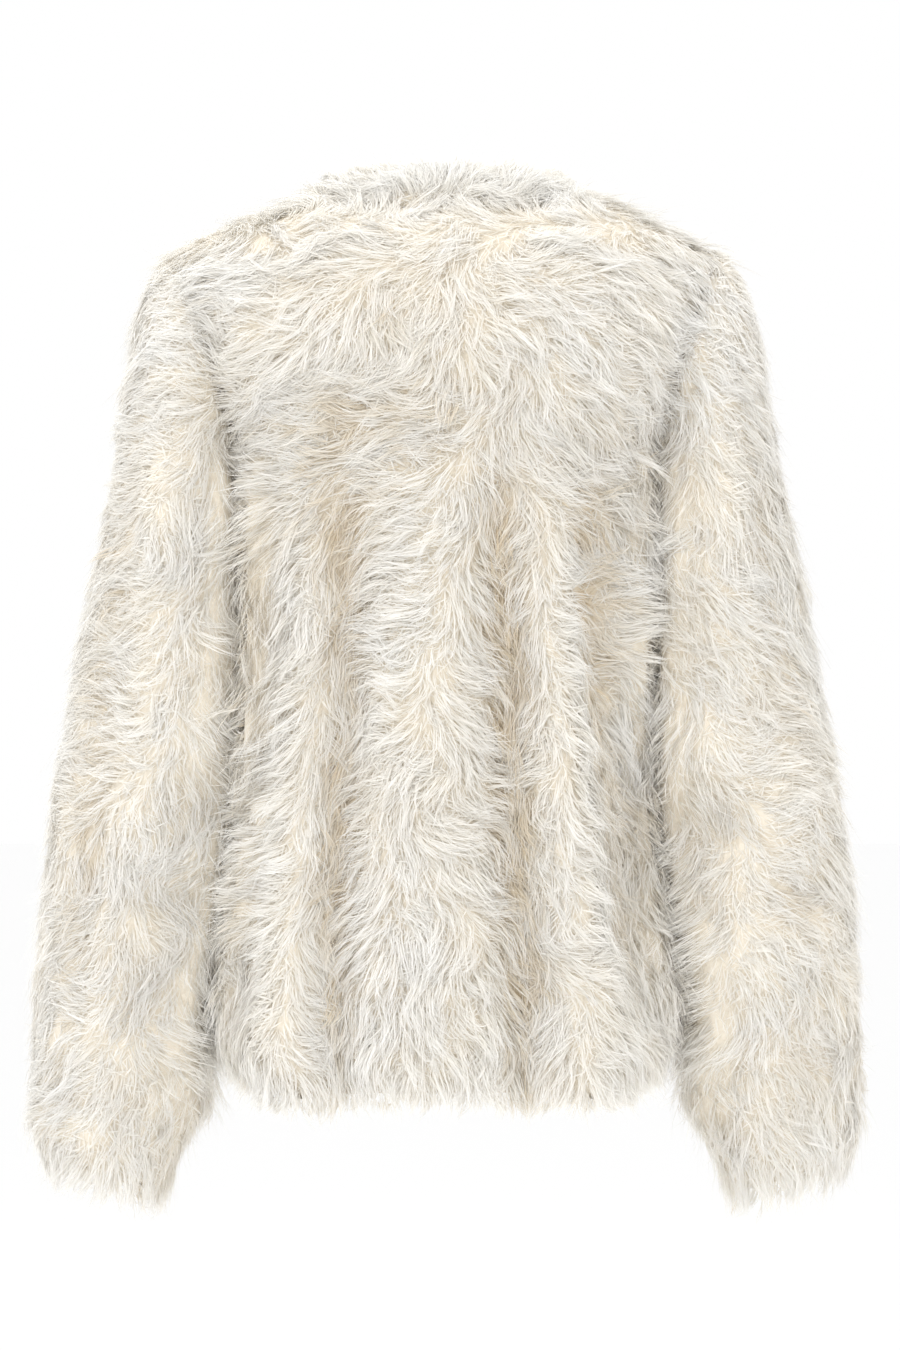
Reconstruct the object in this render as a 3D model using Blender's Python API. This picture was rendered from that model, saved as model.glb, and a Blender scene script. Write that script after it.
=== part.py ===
"""Cropped cardigan in long-pile ivory fur fabric, filled out as if worn, open at neck, front, hem and cuffs.

Metres, +Z up. The wearer's left is +X, the back is +Y and the front is -Y. The origin lies inside the neck,
level with the lowest point of the back neck seam. Every piece is a wall: its inner face is the cloth's
inner face, and its outer face is where the pile reaches. Neighbouring pieces share a seam line, with a
gap of SEAM_GAP between them.
"""

import math

import bpy
import numpy as np

MM = 0.001

# ---- Cloth and pile -------------------------------------------------------------------------------------
CLOTH = 2 * MM                 # knitted backing
PILE = 16 * MM                 # how deep the lying pile is
WALL = CLOTH + PILE
PRESSED_WALL = 6 * MM          # cloth with the pile pressed flat, where a sleeve lies against the body
EDGE_WALL = 7 * MM             # at a free edge, where the pile tapers off past the cloth
EDGE_TAPER = 30 * MM           # how far back from a free edge the taper starts
SEAM_GAP = 0.3 * MM
TUFT_DROP = 5 * MM             # how far the tips of tufts hang lower along the hem and cuffs
TUFT_UNEVENNESS = 0.4          # share by which one tip hangs lower or higher than the next
TUFT_WAVE = 2.4                # radians that this unevenness turns by from one step to the next

# ---- Levels ---------------------------------------------------------------------------------------------
HEM_Z = -568 * MM
UNDERARM_Z = -182 * MM
HEM_DIP = 6 * MM               # how much lower the hem hangs beside the middle
HEM_DIP_AT = (0.68, 0.17)      # the dip's place and half width, as shares of the hem's half width
HEM_SIDE_RISE = 9 * MM         # how much higher it is at the side seam
HEM_RISE_FROM = 0.82           # share of the half width where that rise starts
HEM_WAVE_REACH = 120 * MM      # how far up the panel the hem's dip and rise go

# ---- Body: outer half width and depths to the back and front, from the hem up ---------------------------
BODY_COLUMNS = ("z", "half_width", "back", "front")
BODY_MM = (
    (-590, 150, 133, 127),
    (-510, 149, 130, 126),
    (-445, 139, 126, 124),
    (-380, 130, 122, 123),
    (-315, 127, 119, 123),
    (-250, 129, 119, 125),
    (-182, 132, 121, 126),
    (-159, 140, 121, 124),
    (-130, 151, 121, 120),
    (-102, 163, 120, 115),
    (-60, 183, 118, 108),
    (-20, 205, 116, 102),
    (30, 225, 114, 96),
)
BODY_SQUARENESS = 2.3          # 2 is an ellipse, more is squarer
BACK_ROLL = 118 * MM           # how far below the shoulder line the back turns upright
FRONT_ROLL = 160 * MM
BACK_ROUNDNESS = 2.05          # of that turn: 1 is a straight slope, 2 is round
FRONT_ROUNDNESS = 1.8
SHOULDER_FLATTENING = 0.6      # how much flatter the section gets from the underarm up to the shoulder

# ---- Neck and shoulders, on the outer faces -------------------------------------------------------------
NECK_SIDE = np.array((84, 0, 21)) * MM
NECK_BACK = np.array((0, 62, 3)) * MM
NECK_FRONT = np.array((0, -76, -52)) * MM
SHOULDER_TIP = np.array((177, 0, -22)) * MM
NECK_RISE_BACK = 1.6           # how late the neck seam climbs to its side, from the back and from the front
NECK_RISE_FRONT = 1.0
NECK_INSET_X = 0.85            # the neck seam's inner edge beside its outer one
NECK_INSET_Y = 0.76
NECK_INNER_DROP = 13 * MM
SHOULDER_ARCH = 3 * MM         # how far the shoulder line rises over a straight one
FRONT_GAP_NECK = 2.5 * MM      # half of the opening between the fronts, at the neck
FRONT_GAP_HEM = 5 * MM         # and at the hem

# ---- Neckband: how far its top edge lies in from the neck seam, and how high above it -------------------
BAND_TOP_BACK = np.array((0, 50, 33)) * MM
BAND_TOP_SIDE = np.array((69, 0, 33)) * MM
BAND_TOP_FRONT = np.array((0, -66, -25)) * MM
BAND_TOP_WALL = 11 * MM
BAND_TOP_SLANT = 2 * MM        # how far the top's inner edge lies below its outer one
BAND_BULGE = 4 * MM

# ---- Armhole: a tilted ring from the shoulder tip to the underarm ---------------------------------------
UNDERARM = np.array((132, 0, -182)) * MM
ARMHOLE_HALF_DEPTH = 58 * MM
ARMHOLE_SCOOP = 6 * MM         # how far the ring curves in towards the neck
ARMHOLE_WALL = 17 * MM
UNDERARM_RIM = 10 * MM
RIM_LEAN_X = 0.28              # how far the rim's inner edge lies towards the neck, at the shoulder tip
RIM_LEAN_Z = 0.9               # and how far below it, beside how far it lies in from the back and front
LOW_HALF = 0.5                 # the rim narrows from this far down the ring, 0 at mid height, 1 at the underarm

# ---- Sleeve: rings from the armhole to the cuff, each set by its outer and inner side -------------------
SLEEVE_COLUMNS = ("outer_x", "outer_z", "inner_x", "inner_z", "half_depth", "centre_y", "inner_wall")
SLEEVE_MM = (
    (177, -22, 132.0, -182, 58, 0, 10),
    (190, -34, 133.8, -186, 59, 0, 7),
    (201, -57, 134.6, -192, 60, 1, 6),
    (209, -94, 134.6, -201, 61, 1, 6),
    (215, -134, 134.0, -212, 62, 1, 6),
    (222, -178, 133.0, -228, 63, 1, 6),
    (233, -232, 131.6, -262, 64, 0, 6),
    (244, -294, 130.4, -320, 65, -2, 6),
    (256, -358, 132.6, -384, 66, -5, 6),
    (264, -424, 140.6, -449, 65, -9, 7),
    (271, -492, 153.0, -515, 63, -13, 11),
    (274, -560, 166.0, -581, 60, -17, 15),
    (273, -606, 175.0, -628, 57, -20, 16),
    (271, -622, 178.0, -643, 56, -21, 16),
)
INNER_SQUARENESS = 2.5         # the side towards the body is flatter
SQUARE_FROM = 0.12             # share of the sleeve's length over which its rings take that form
SCOOP_OVER = 0.25              # and over which the armhole's scoop dies out
SLEEVE_TOP_CALM = (0.03, 0.10)  # share without folds below the armhole, and that over which they begin
CUFF_CALM = (0.9, 0.2)         # where folds get lower towards the cuff, and what share of them reaches it
BODY_SIDE = (0.45, 0.5)        # -cosine of the turn where a sleeve's body side starts, and over which it grows

# ---- Folds ----------------------------------------------------------------------------------------------
# Each fold runs down a panel: where its crest is at four levels, its half width, and its height at the hem,
# which is negative for a trough. It starts at start_z and ends at end_z.
FOLD_LEVELS_MM = (-110, -260, -420, -570)
FOLD_COLUMNS = ("x_chest", "x_waist", "x_low", "x_hem", "half_width", "height", "start_z", "end_z")
BACK_FOLDS_MM = (
    (112, 97, 102, 110, 19, 11, -110, -900),
    (68, 64, 71, 79, 15, -17, -100, -900),
    (18, 15, 13, 9, 34, 10, -90, -900),
    (-28, -38, -43, -57, 16, -20, -100, -900),
    (-64, -67, -84, -103, 18, 11, -120, -900),
    (-95, -97, -114, -124, 13, -13, -90, -520),
    (-119, -118, -125, -128, 12, 7, -80, -400),
)
FRONT_FOLDS_MM = {
    1: (
        (30, 34, 37, 42, 20, 7, -140, -900),
        (60, 66, 70, 74, 14, -10, -120, -900),
        (92, 94, 101, 108, 18, 10, -120, -900),
        (118, 114, 120, 130, 12, -8, -130, -560),
    ),
    -1: (
        (24, 27, 31, 35, 17, 7, -150, -900),
        (50, 54, 60, 66, 15, -10, -110, -900),
        (84, 88, 94, 99, 19, 10, -120, -900),
        (112, 110, 117, 127, 13, -8, -120, -580),
    ),
}
FOLD_GROWTH = 230 * MM         # a fold reaches its full height this far below its start
FOLD_FADE = 80 * MM            # and dies out over this stretch above its end
CLOTH_FOLLOWS = 0.6            # share of a fold that the cloth's inner face takes part in

# Dents and swellings of a sleeve: place down it from 0 at the armhole to 1 at the cuff, place round it in
# degrees (0 outer side, 90 back, 180 towards the body, 270 front), reach along and round, and height.
SLEEVE_FOLD_COLUMNS = ("down", "round", "reach_down", "reach_round", "height")
SLEEVE_FOLDS = {
    1: (
        (0.42, 52, 0.24, 13, -9),
        (0.68, 56, 0.20, 12, -8),
        (0.50, 98, 0.10, 22, 8),
        (0.58, 124, 0.030, 24, -9),
        (0.63, 96, 0.035, 20, 5),
        (0.68, 116, 0.026, 24, -8),
        (0.79, 112, 0.050, 20, -6),
        (0.88, 84, 0.07, 24, 4),
        (0.27, 80, 0.07, 24, 6),
        (0.33, 22, 0.05, 24, -4),
        (0.60, 300, 0.035, 30, -8),
        (0.70, 270, 0.040, 34, -7),
        (0.48, 262, 0.08, 28, 6),
        (0.84, 285, 0.05, 26, -5),
        (0.35, 235, 0.16, 14, -7),
    ),
    -1: (
        (0.53, 114, 0.05, 26, 8),
        (0.60, 120, 0.028, 26, -9),
        (0.57, 68, 0.05, 20, 5),
        (0.70, 66, 0.032, 24, -8),
        (0.79, 60, 0.028, 24, -6),
        (0.87, 66, 0.032, 28, -7),
        (0.74, 104, 0.08, 20, 7),
        (0.36, 58, 0.20, 13, -8),
        (0.26, 90, 0.07, 24, 6),
        (0.31, 340, 0.05, 24, -4),
        (0.58, 290, 0.035, 32, -8),
        (0.67, 262, 0.035, 30, -7),
        (0.50, 255, 0.08, 28, 6),
        (0.82, 300, 0.05, 26, -5),
        (0.38, 228, 0.15, 14, -7),
    ),
}
SLEEVE_PARTS_Z = -430 * MM     # below this the sleeves hang clear of the body
SLEEVE_PARTS_OVER = 120 * MM
PRESSED_SHARE = 0.30           # share of a panel's half width over which the pile is pressed
SEAM_FLAT = 0.055              # share of a panel's half width beside a seam that takes no folds
SEAM_CALM = 0.16               # share of a panel's half width over which folds die out towards a seam
TOP_CALM_ROWS = 8              # rows over which folds die out towards the neck and shoulder
FULL_WALL_ROWS = 5             # rows above the underarm over which a pressed wall gets its full pile again
FRONT_TAPER_ROWS = 3           # rows below the neck over which the front edge's taper begins

# ---- Grids: steps of the outer faces. The inner faces use every second row and column. ------------------
LOWER_ROWS = 22                # hem to underarm
ARM_ROWS = 16                  # underarm to shoulder, which is half of the way round a sleeve
NECK_STEPS = 6                 # centre back, or centre front, to the side of the neck
SHOULDER_STEPS = 12            # side of the neck to the shoulder tip
SLEEVE_ROWS = 38
BAND_ROWS = 4
NECK_SHARE = 0.36              # share of a panel's half width that ends at the neck
TOP_SOFTENING = 4              # columns each way over which the top line's corner is rounded off below it
TOP_SOFT_ROWS = 5              # how far below it that is complete
EDGE_PULL = 5                  # power of the share by which a row is drawn onto the armhole: high keeps it beside
SECTION_STEPS = 160            # places that a section's length is measured at
ROW_CROWDING = 0.3             # how much closer the rows lie at the underarm than at the hem
SHARP_ANGLE = math.radians(50)
ARM_TURNS = math.pi * (1 - np.arange(ARM_ROWS + 1) / ARM_ROWS)   # round an armhole, from its underarm

# ---- Colours, linear ------------------------------------------------------------------------------------
BACK_COLOUR = (0.80, 0.76, 0.68)
FRONT_COLOUR = (0.79, 0.75, 0.67)
SLEEVE_COLOUR = (0.82, 0.78, 0.71)
BAND_COLOUR = (0.83, 0.79, 0.72)


# ---- Helpers --------------------------------------------------------------------------------------------
def smoothstep(value):
    value = np.clip(value, 0.0, 1.0)
    return value * value * (3 - 2 * value)


def unit(vectors):
    return vectors / np.maximum(np.linalg.norm(vectors, axis=-1, keepdims=True), 1e-12)


def smooth_curve(knots, values, at):
    """A Catmull-Rom curve through (knots, values), read at the places at."""
    knots = np.asarray(knots, float)
    values = np.asarray(values, float)
    slopes = np.gradient(values, knots, axis=0)
    at = np.clip(at, knots[0], knots[-1])
    left = np.clip(np.searchsorted(knots, at, side="right") - 1, 0, len(knots) - 2)
    span = knots[left + 1] - knots[left]
    t = (at - knots[left]) / span
    if values.ndim > 1:
        t = t[..., None]
        span = span[..., None]
    start = (1 + 2 * t) * (1 - t) ** 2 * values[left] + t * (1 - t) ** 2 * span * slopes[left]
    return start + t * t * (3 - 2 * t) * values[left + 1] + t * t * (t - 1) * span * slopes[left + 1]


def body_size(column, z):
    """Half width, or depth to the back or front, of the body at height z."""
    table = np.array(BODY_MM) * MM
    return smooth_curve(table[:, 0], table[:, BODY_COLUMNS.index(column)], np.asarray(z, float))


def fold_height(folds_mm, x, z):
    """How far the folds of one panel stand out of its smooth form at (x, z)."""
    levels = -np.array(FOLD_LEVELS_MM) * MM
    height = np.zeros(np.shape(x))
    for row in folds_mm:
        fold = dict(zip(FOLD_COLUMNS, np.array(row, float) * MM))
        places = [fold["x_chest"], fold["x_waist"], fold["x_low"], fold["x_hem"]]
        across = (x - smooth_curve(levels, places, -z)) / fold["half_width"]
        growth = smoothstep((fold["start_z"] - z) / FOLD_GROWTH)
        fade = smoothstep((z - fold["end_z"]) / FOLD_FADE)
        height += fold["height"] * growth * fade * np.exp(-across * across)
    return height


def tuft_drops(count):
    """How far each step of a free edge hangs down: every second one carries the tip of a tuft."""
    steps = np.arange(count)
    return TUFT_DROP * (steps % 2) * (1 + TUFT_UNEVENNESS * np.sin(TUFT_WAVE * steps))


# ---- Armhole ring ---------------------------------------------------------------------------------------
def armhole(turn):
    """(outer point, rim direction, rim width) at angles: 0 shoulder tip, 90 back, 180 underarm, 270 front."""
    middle = (SHOULDER_TIP + UNDERARM) / 2
    half = (SHOULDER_TIP - UNDERARM) / 2
    point = middle + np.cos(turn)[:, None] * half
    point[:, 0] -= ARMHOLE_SCOOP * np.abs(np.sin(turn))
    point[:, 1] += ARMHOLE_HALF_DEPTH * np.sin(turn)
    lean_x = -RIM_LEAN_X * (1 + np.cos(turn))
    inwards = np.stack([lean_x, -np.sin(turn), -RIM_LEAN_Z * np.cos(turn)], axis=-1)
    low = smoothstep((-np.cos(turn) - LOW_HALF) / (1 - LOW_HALF))
    width = ARMHOLE_WALL + (UNDERARM_RIM - ARMHOLE_WALL) * low
    return point, unit(inwards), width


# ---- Body panels ----------------------------------------------------------------------------------------
def panel_shares():
    """Places across half a panel, from 0 at its middle to 1 at its side. One lies at the side of the neck."""
    neck = np.linspace(0, NECK_SHARE, NECK_STEPS + 1)
    shoulder = np.linspace(NECK_SHARE, 1, SHOULDER_STEPS + 1)[1:]
    return np.concatenate([neck, shoulder])


def front_gap(shares, z, facing):
    """How far a front's points move aside for its half of the opening. The back has none."""
    if facing > 0:
        return np.zeros(np.shape(shares))
    gap = FRONT_GAP_HEM + (FRONT_GAP_NECK - FRONT_GAP_HEM) * smoothstep((z - HEM_Z) / -HEM_Z)
    return gap * (1 - np.asarray(shares)) ** 3


def top_line(facing):
    """(outer, inner) points of the neck seam and then the shoulder seam, across half a panel."""
    shares = panel_shares()
    middle = NECK_BACK if facing > 0 else NECK_FRONT
    round_neck = np.clip(shares / NECK_SHARE, 0, 1)
    turn = round_neck * math.pi / 2
    rise = NECK_RISE_BACK if facing > 0 else NECK_RISE_FRONT
    height = middle[2] + (NECK_SIDE[2] - middle[2]) * (1 - np.cos(turn)) ** rise
    neck = np.stack([NECK_SIDE[0] * np.sin(turn), middle[1] * np.cos(turn), height], axis=-1)
    along = np.clip((shares - NECK_SHARE) / (1 - NECK_SHARE), 0, 1)[:, None]
    arch = SHOULDER_ARCH * np.sin(math.pi * along) * np.array((0, 0, 1))
    shoulder = NECK_SIDE + along * (SHOULDER_TIP - NECK_SIDE) + arch
    at_neck = shares[:, None] <= NECK_SHARE
    outer = np.where(at_neck, neck, shoulder)
    inner_neck = neck * np.array((NECK_INSET_X, NECK_INSET_Y, 1)) - np.array((0, 0, NECK_INNER_DROP))
    aside = front_gap(round_neck, outer[:, 2], facing)
    outer[:, 0] += aside
    inner_neck[:, 0] += aside
    tip, inwards, width = armhole(np.zeros(1))
    inner_side = NECK_SIDE * np.array((NECK_INSET_X, 1, 1)) - np.array((0, 0, NECK_INNER_DROP))
    inner_shoulder = inner_side + along * (tip[0] + inwards[0] * width[0] - inner_side)
    return outer, np.where(at_neck, inner_neck, inner_shoulder)


def hem_wave(x, end_x, z):
    """How far points near the hem move up or down, so that it dips beside the middle and rises at the sides."""
    share = x / end_x
    place, width = HEM_DIP_AT
    dip = HEM_DIP * np.exp(-((share - place) / width) ** 2)
    rise = HEM_SIDE_RISE * smoothstep((share - HEM_RISE_FROM) / (1 - HEM_RISE_FROM))
    return (rise - dip) * (1 - (z - HEM_Z) / HEM_WAVE_REACH).clip(0, 1) ** 2


def section_x(shares, half_width, depth, end_x):
    """x at each share of the way round a section of the body, from its middle to end_x."""
    x = end_x * np.sin(np.linspace(0, math.pi / 2, SECTION_STEPS))
    y = depth * (1 - (x / half_width) ** BODY_SQUARENESS).clip(0) ** (1 / BODY_SQUARENESS)
    way = np.concatenate([[0], np.cumsum(np.hypot(np.diff(x), np.diff(y)))])
    return np.interp(shares * way[-1], way, x)


def body_depth(x, z, top, facing):
    """How far the body's smooth outer face stands out at (x, z), below the top line."""
    ratio = np.clip(np.abs(x) / body_size("half_width", z), 0, 1)
    full = body_size("back" if facing > 0 else "front", z)
    full = full * (1 - ratio ** BODY_SQUARENESS) ** (1 / BODY_SQUARENESS)
    turn, roundness = (BACK_ROLL, BACK_ROUNDNESS) if facing > 0 else (FRONT_ROLL, FRONT_ROUNDNESS)
    below = np.clip((top[:, 2] - z) / turn, 0, 1)
    roll = (1 - (1 - below) ** roundness) ** (1 / roundness)
    start = np.abs(top[:, 1])
    return start + (full - start) * roll


def softened(line):
    """A top line with the corner at the side of the neck rounded off, for the rows below it."""
    ends = np.concatenate([line[TOP_SOFTENING:0:-1], line, np.repeat(line[-1:], TOP_SOFTENING, axis=0)])
    weights = np.hanning(2 * TOP_SOFTENING + 3)[1:-1]
    columns = [np.convolve(column, weights / weights.sum(), "valid") for column in ends.T]
    return np.stack(columns, axis=-1)


def half_panel(facing):
    """The smooth outer points of half a panel: rows from the hem up, columns from its middle to its side."""
    shares = panel_shares()
    top, _ = top_line(facing)
    soft_top = softened(top)
    rows = LOWER_ROWS + ARM_ROWS
    edge, _, _ = armhole(facing * ARM_TURNS)
    points = np.zeros((rows + 1, len(shares), 3))
    for row in range(rows + 1):
        above = max(row - LOWER_ROWS, 0) / ARM_ROWS
        if row <= LOWER_ROWS:
            up = row / LOWER_ROWS
            level = HEM_Z + (UNDERARM_Z - HEM_Z) * up * (1 + ROW_CROWDING * (1 - up))
            z = np.full(len(shares), level)
            end_x = body_size("half_width", level)
        else:
            end_x, _, level = edge[row - LOWER_ROWS]
            edge_share = (level - UNDERARM_Z) / (SHOULDER_TIP[2] - UNDERARM_Z)
            z = UNDERARM_Z + (top[:, 2] - UNDERARM_Z) * (above + (edge_share - above) * shares ** 2)
        depth = body_size("back" if facing > 0 else "front", level) * (1 - SHOULDER_FLATTENING * above ** 2)
        half_width = max(body_size("half_width", level), end_x)
        x = section_x(shares, half_width, depth, end_x) + front_gap(shares, z, facing)
        x = x + (top[:, 0] - x) * smoothstep(above) * above
        z = z + hem_wave(x, end_x, z)
        near_top = top + (soft_top - top) * smoothstep((rows - row) / TOP_SOFT_ROWS)
        y = facing * body_depth(x, z, near_top, facing)
        points[row] = np.stack([x, y, z], axis=-1)
    points[-1] = top
    miss = edge - points[LOWER_ROWS:, -1]
    points[LOWER_ROWS:] += miss[:, None, :] * (shares ** EDGE_PULL)[None, :, None]
    return points


def grid_normals(points, outwards, closed=False):
    """Unit normals of a grid of points, on the side that outwards points to."""
    if closed:
        along = np.roll(points, -1, axis=1) - np.roll(points, 1, axis=1)
    else:
        along = np.gradient(points, axis=1)
    normals = unit(np.cross(along, np.gradient(points, axis=0)))
    inside_out = (normals * outwards).sum(axis=-1, keepdims=True) < 0
    return np.where(inside_out, -normals, normals)


def body_wall(z, from_side, row):
    """Thickness of a body panel's wall: thin where a sleeve presses on the pile, beside the side seam."""
    side = PRESSED_WALL + (WALL - PRESSED_WALL) * smoothstep((SLEEVE_PARTS_Z - z) / SLEEVE_PARTS_OVER)
    wall = side + (WALL - side) * smoothstep(from_side / PRESSED_SHARE)
    return wall + (WALL - wall) * smoothstep((row - LOWER_ROWS) / FULL_WALL_ROWS)


def panel(facing, sides, folds_mm):
    """(outer, inner) points of the back (sides 1 and -1) or of a front (one side), hem first."""
    half = half_panel(facing)
    top, top_inner = top_line(facing)
    edge, inwards, rim = armhole(facing * ARM_TURNS)
    last_row = len(half) - 1
    rows = np.arange(last_row + 1)[:, None]
    from_side = 1 - panel_shares()[None, :]
    outwards = half * np.array((1, 1, 0)) + np.array((0, 0, WALL))
    normals = grid_normals(half, outwards)
    x, z = half[..., 0], half[..., 2]
    normals[:LOWER_ROWS + 1, -1] = (1, 0, 0)
    if facing > 0:
        normals[:, 0] = unit(normals[:, 0] * np.array((0, 1, 1)))
    calm = smoothstep((from_side - SEAM_FLAT) / SEAM_CALM) * smoothstep((last_row - rows - 1) / TOP_CALM_ROWS)
    taper = (WALL - EDGE_WALL) * (1 - (z - z[0]) / EDGE_TAPER).clip(0, 1) ** 2
    if facing < 0:
        past_edge = (1 - (x - FRONT_GAP_NECK) / EDGE_TAPER).clip(0, 1) ** 2
        taper = np.maximum(taper, (WALL - EDGE_WALL) * past_edge * smoothstep((last_row - rows) / FRONT_TAPER_ROWS))
    wall = body_wall(z, from_side, rows)
    halves = []
    for side in sides:
        height = fold_height(folds_mm, x * side, z) * calm
        outer = half + normals * (height - taper)[..., None]
        inner = half + normals * (height * CLOTH_FOLLOWS - wall)[..., None]
        outer[0, :, 2] -= tuft_drops(len(outer[0]))
        inner[LOWER_ROWS:, -1] = edge + inwards * rim[:, None]
        outer[-1], inner[-1] = top, top_inner
        halves.append((outer * np.array((side, 1, 1)), inner * np.array((side, 1, 1))))
    if len(halves) == 1:
        return halves[0]
    return tuple(np.concatenate([r[:, :0:-1], l], axis=1) for l, r in zip(*halves))


# ---- Sleeves --------------------------------------------------------------------------------------------
def sleeve_dents(side, down, turn):
    """How far a sleeve's folds stand out of its smooth form."""
    height = np.zeros(np.broadcast(down, turn).shape)
    for row in SLEEVE_FOLDS[side]:
        fold = dict(zip(SLEEVE_FOLD_COLUMNS, row))
        off = (np.degrees(turn) - fold["round"] + 180) % 360 - 180
        reach = ((down - fold["down"]) / fold["reach_down"]) ** 2 + (off / fold["reach_round"]) ** 2
        height += fold["height"] * MM * np.exp(-reach)
    return height


def sleeve(side):
    """(outer, inner) points of a sleeve: rows from the armhole down, columns round it from its outer side."""
    table = np.array(SLEEVE_MM, float) * MM
    steps = np.linalg.norm(np.diff(table[:, :2], axis=0), axis=1)
    knots = np.concatenate([[0], np.cumsum(steps)]) / steps.sum()
    down = np.linspace(0, 1, SLEEVE_ROWS + 1)
    sizes = {name: smooth_curve(knots, table[:, i], down)[:, None] for i, name in enumerate(SLEEVE_COLUMNS)}
    turn = 2 * math.pi * np.arange(2 * ARM_ROWS) / (2 * ARM_ROWS)
    cosine, sine = np.cos(turn)[None, :], np.sin(turn)[None, :]
    squareness = np.where(cosine < 0, INNER_SQUARENESS, 2.0)
    reach = (np.abs(cosine) ** squareness + np.abs(sine) ** squareness) ** (-1 / squareness)
    reach = 1 + (reach - 1) * smoothstep(down[:, None] / SQUARE_FROM)
    x = (sizes["outer_x"] + sizes["inner_x"]) / 2 + (sizes["outer_x"] - sizes["inner_x"]) / 2 * cosine * reach
    z = (sizes["outer_z"] + sizes["inner_z"]) / 2 + (sizes["outer_z"] - sizes["inner_z"]) / 2 * cosine * reach
    y = sizes["centre_y"] + sizes["half_depth"] * sine * reach
    x = x - ARMHOLE_SCOOP * np.abs(sine) * (1 - smoothstep(down[:, None] / SCOOP_OVER))
    smooth = np.stack([x, y, z], axis=-1)
    middle = smooth.mean(axis=1, keepdims=True)
    normals = grid_normals(smooth, smooth - middle, closed=True)
    height = sleeve_dents(side, down[:, None], turn[None, :])
    calm = smoothstep((down[:, None] - SLEEVE_TOP_CALM[0]) / SLEEVE_TOP_CALM[1])
    low_from, low_share = CUFF_CALM
    calm = calm * (1 - (1 - low_share) * smoothstep((down[:, None] - low_from) / (1 - low_from)))
    towards_body = smoothstep((-cosine - BODY_SIDE[0]) / BODY_SIDE[1])
    height = height * calm * (1 - towards_body)
    wall = WALL + (sizes["inner_wall"] - WALL) * towards_body
    to_cuff = np.linalg.norm(smooth - smooth[-1:], axis=-1)
    taper = (wall - np.minimum(wall, EDGE_WALL)) * (1 - to_cuff / EDGE_TAPER).clip(0, 1) ** 2
    outer = smooth + normals * (height - taper)[..., None]
    inner = smooth + normals * (height * CLOTH_FOLLOWS - wall)[..., None]
    outer[-1, :, 2] -= tuft_drops(2 * ARM_ROWS)
    edge, inwards, rim = armhole(turn)
    outer[0] = edge
    inner[0] = edge + inwards * rim[:, None]
    mirror = np.array((side, 1, 1))
    return outer * mirror, inner * mirror


# ---- Neckband -------------------------------------------------------------------------------------------
def neckband():
    """(outer, inner) points of the neckband: rows from the neck seam up, columns from one end to the other."""
    outer_seam, inner_seam, top_seam = [], [], []
    for facing, top_middle in ((-1, BAND_TOP_FRONT), (1, BAND_TOP_BACK)):
        outer, inner = top_line(facing)
        turn = panel_shares()[:NECK_STEPS + 1] / NECK_SHARE * math.pi / 2
        top = np.stack([BAND_TOP_SIDE[0] * np.sin(turn), top_middle[1] * np.cos(turn), turn * 0], axis=-1)
        rise = NECK_RISE_BACK if facing > 0 else NECK_RISE_FRONT
        top[:, 2] = top_middle[2] + (BAND_TOP_SIDE[2] - top_middle[2]) * (1 - np.cos(turn)) ** rise
        top[:, 0] += front_gap(turn / turn[-1], outer[:NECK_STEPS + 1, 2], facing)
        for kept, line in ((outer_seam, outer), (inner_seam, inner), (top_seam, top)):
            kept.append(line[:NECK_STEPS + 1])
    lines = []
    for front, back in (outer_seam, inner_seam, top_seam):
        left = np.concatenate([front, back[::-1][1:]])
        right = left[::-1][1:] * np.array((-1, 1, 1))
        lines.append(np.concatenate([left, right]))
    seam, seam_inner, top = lines
    inwards = unit((seam_inner - seam) * np.array((1, 1, 0)))
    up = np.linspace(0, 1, BAND_ROWS + 1)[:, None, None]
    top_inner = top + inwards * BAND_TOP_WALL - np.array((0, 0, BAND_TOP_SLANT))
    bulge = np.sin(math.pi * up) * BAND_BULGE
    outer = seam + (top - seam) * up - inwards * bulge
    inner = seam_inner + (top_inner - seam_inner) * up
    return outer, inner


# ---- Meshes ---------------------------------------------------------------------------------------------
def kept_steps(count, also=()):
    """The steps that an inner grid uses: every second one, both ends, and those named."""
    return sorted(set(range(0, count, 2)) | {count - 1} | set(also))


def stitch(fine, kept, coarse):
    """Faces between a fine edge and a coarse one that has points only at the kept steps."""
    faces = []
    for a, b in zip(kept, kept[1:]):
        middle = (a + b + 1) // 2
        faces += [(fine[k], fine[k + 1], coarse[a]) for k in range(a, middle)]
        faces += [(fine[k], fine[k + 1], coarse[b]) for k in range(middle, b)]
        faces.append((fine[middle], coarse[b], coarse[a]))
    return faces


def grid_faces(points, index):
    """Two triangles for each cell of a grid, parted along the shorter diagonal."""
    faces = []
    for low, high in zip(index, index[1:]):
        for a, b, c, d in zip(low, low[1:], high[1:], high):
            if math.dist(points[a], points[c]) < math.dist(points[b], points[d]):
                faces += [(a, b, c), (a, c, d)]
            else:
                faces += [(a, b, d), (b, c, d)]
    return faces


def move_off_seams(outer, inner, seams):
    """Moves each seam edge half of the gap into its own piece, square to the seam's rim."""
    half_gap = SEAM_GAP / 2
    moves = np.zeros_like(outer)
    for edge, next_in, closed in seams:
        line, inside = outer[edge], inner[edge]
        if closed:
            tangent = np.roll(line, -1, axis=0) - np.roll(line, 1, axis=0)
        else:
            tangent = np.gradient(line, axis=0)
        across = unit(np.cross(tangent, inside - line))
        inwards = np.sign(((outer[next_in] - line) * across).sum())
        moves[edge] += across * inwards * half_gap
    return outer + moves, inner + moves


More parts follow.
